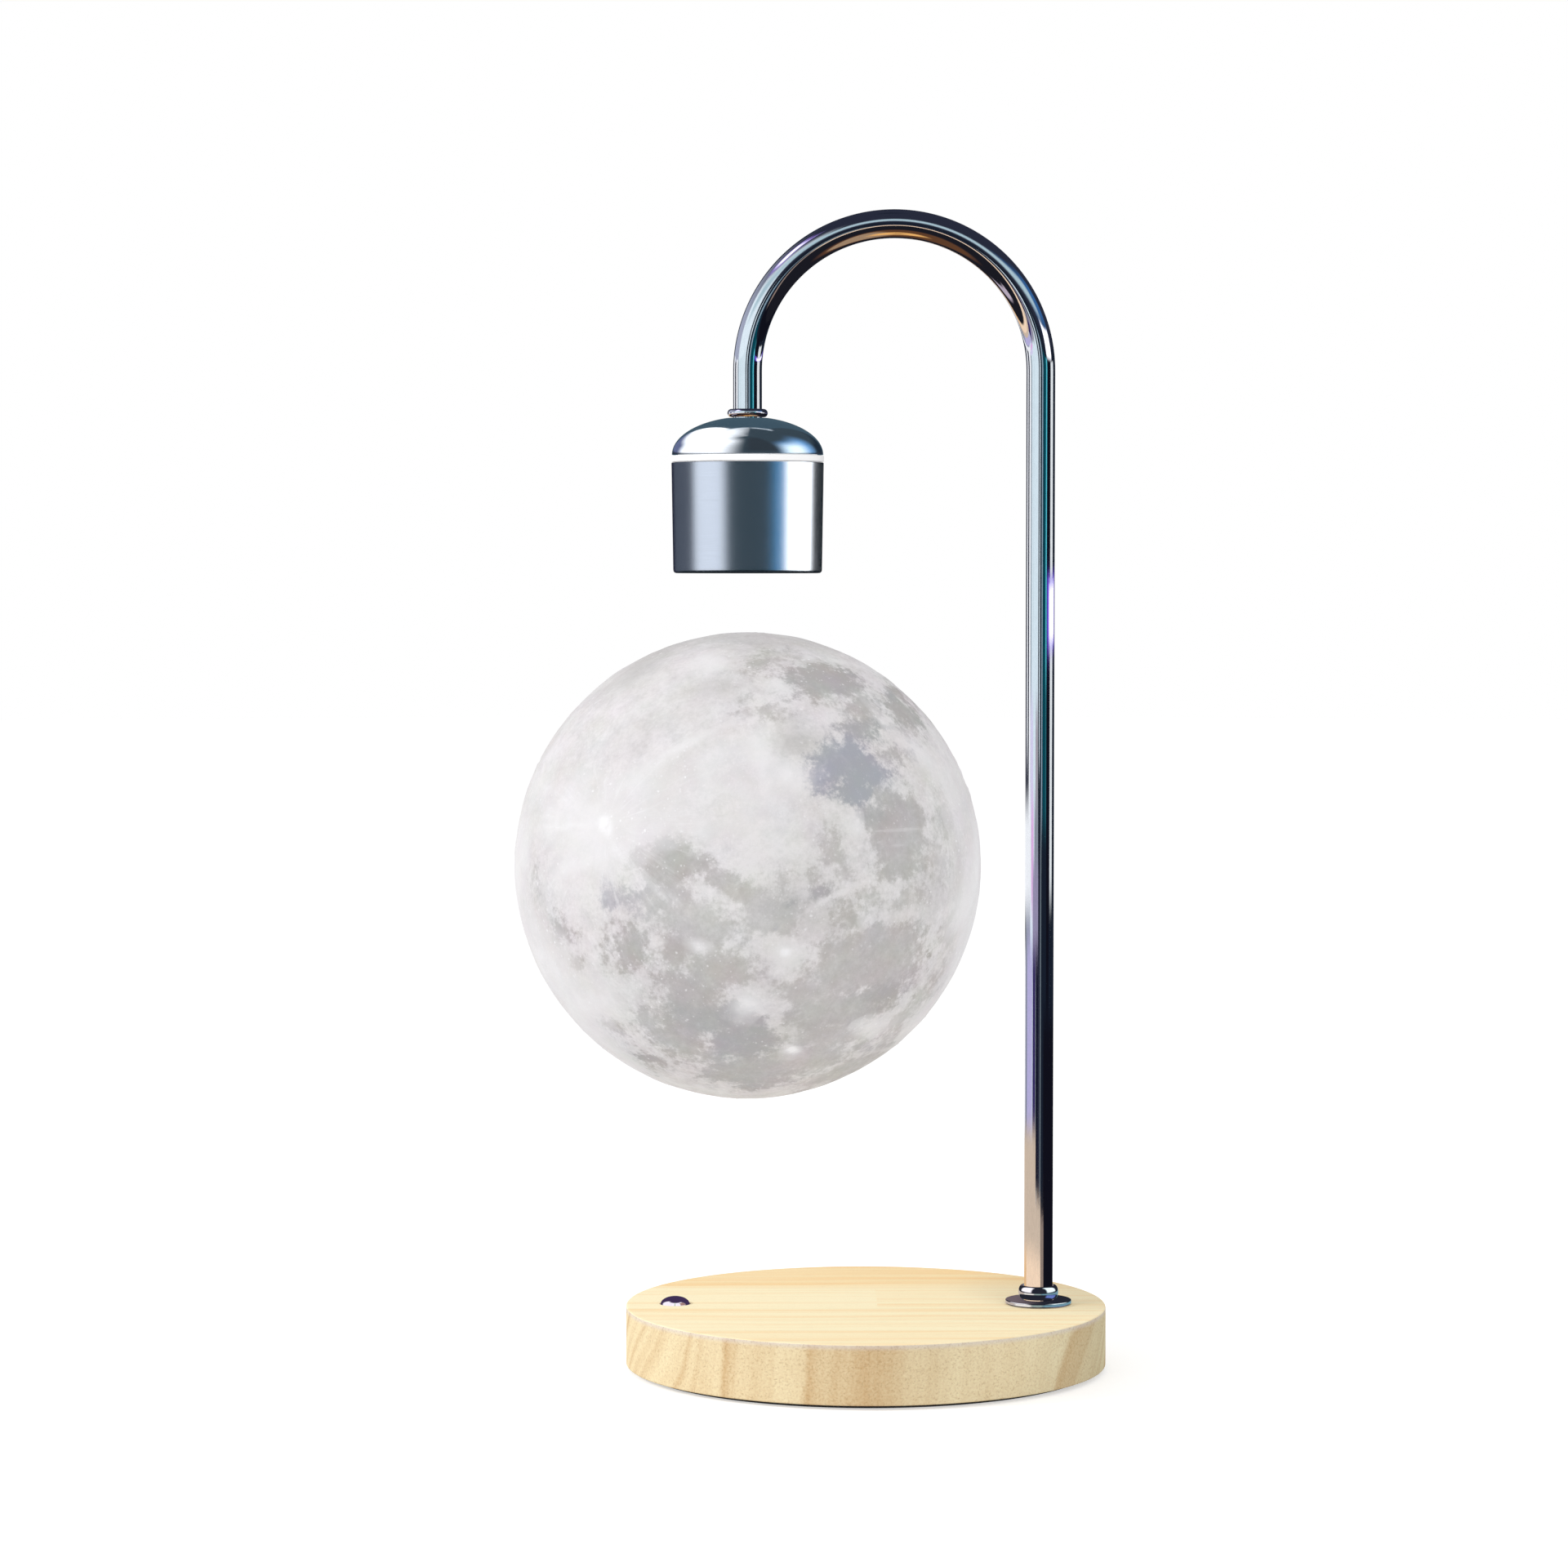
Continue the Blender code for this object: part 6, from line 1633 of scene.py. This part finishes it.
@dataclass
class Studio:
    """Camera, white ground and soft light."""

    camera_place: tuple[float, float, float] = (-0.02636, -1.4485, 0.2601)
    camera_tilt: float = radians(87.161)
    lens: float = 103.76
    sensor: float = 36.0
    ambient: float = 0.70
    floor_glow: float = 0.52
    floor_grey: float = 0.70
    floor_drop: float = 0.0001
    floor_rings: tuple[float, float, float] = (0, 1.5, 6.0)

    def build(self) -> None:
        """Sets the camera, the floor, the rooms for reflections, the lamps and the world."""
        view = bpy.data.cameras.new("view")
        view.lens, view.sensor_width = self.lens, self.sensor
        camera = bpy.data.objects.new("view", view)
        camera.location, camera.rotation_euler = self.camera_place, (self.camera_tilt, 0, 0)
        bpy.context.scene.collection.objects.link(camera)
        bpy.context.scene.camera = camera
        bpy.context.scene.view_settings.view_transform = "Standard"
        self.floor()
        for fitting in (*ROOMS, *LAMPS):
            fitting.build()
        self.world()

    @staticmethod
    def plainly_seen(look: Look) -> Value:
        """1 for camera, mirror and see-through rays, 0 for the light that a surface scatters."""
        path = look.node("ShaderNodeLightPath")
        names = ("Is Camera Ray", "Is Glossy Ray", "Is Transmission Ray")
        rays = [Value(look, path.outputs[name]) for name in names]
        return rays[0].highest(rays[1]).highest(rays[2])

    def floor(self) -> None:
        """A wide white floor that glows to white for the camera and keeps a soft shadow."""
        outline = [(radius, 0) for radius in self.floor_rings]
        ground = turned("floor", outline, (0, 0, -self.floor_drop), sides=64)
        ground.visible_glossy = False
        made = bpy.data.materials.new("white_floor")
        made.use_nodes = True
        look = Look(made.node_tree)
        matt = look.node("ShaderNodeBsdfDiffuse", None, {"Color": (self.floor_grey,) * 3})
        strength = self.plainly_seen(look) * self.floor_glow
        glow = look.node("ShaderNodeEmission", None, {"Color": (1.0, 1.0, 1.0), "Strength": strength})
        both = look.node("ShaderNodeAddShader", None, {0: matt.outputs[0], 1: glow.outputs[0]})
        look.node("ShaderNodeOutputMaterial", None, {"Surface": both.outputs[0]})
        ground.data.materials.append(made)

    def world(self) -> None:
        """White to the camera and in reflections, plain soft light on the surfaces."""
        made = bpy.data.worlds.new("white_room")
        bpy.context.scene.world = made
        made.use_nodes = True
        look = Look(made.node_tree)
        strength = self.plainly_seen(look) * (1.0 - self.ambient) + self.ambient
        sky = look.node("ShaderNodeBackground", None, {"Color": (1.0, 1.0, 1.0), "Strength": strength})
        look.node("ShaderNodeOutputWorld", None, {"Surface": sky.outputs[0]})


def dress_sealed_pieces() -> None:
    """Gives every CAD node the finish of its material slot. The replaced ones are hidden later."""
    for name, node in frame["nodes"].items():
        if node.type == "MESH":
            dress_piece(node, SLOT_FINISHES[SLOTS[name]])
    LOG.info("%d solids dressed", len(frame["nodes"]))


def main() -> None:
    """Builds the lamp and the studio."""
    logging.basicConfig(level=logging.INFO, format="%(message)s")
    dress_sealed_pieces()
    for group in (Base(), PushButton(), Stem(), Head(), Globe()):
        group.build()
        LOG.info("%s built", type(group).__name__)
    Studio().build()


if __name__ == "__main__":
    main()
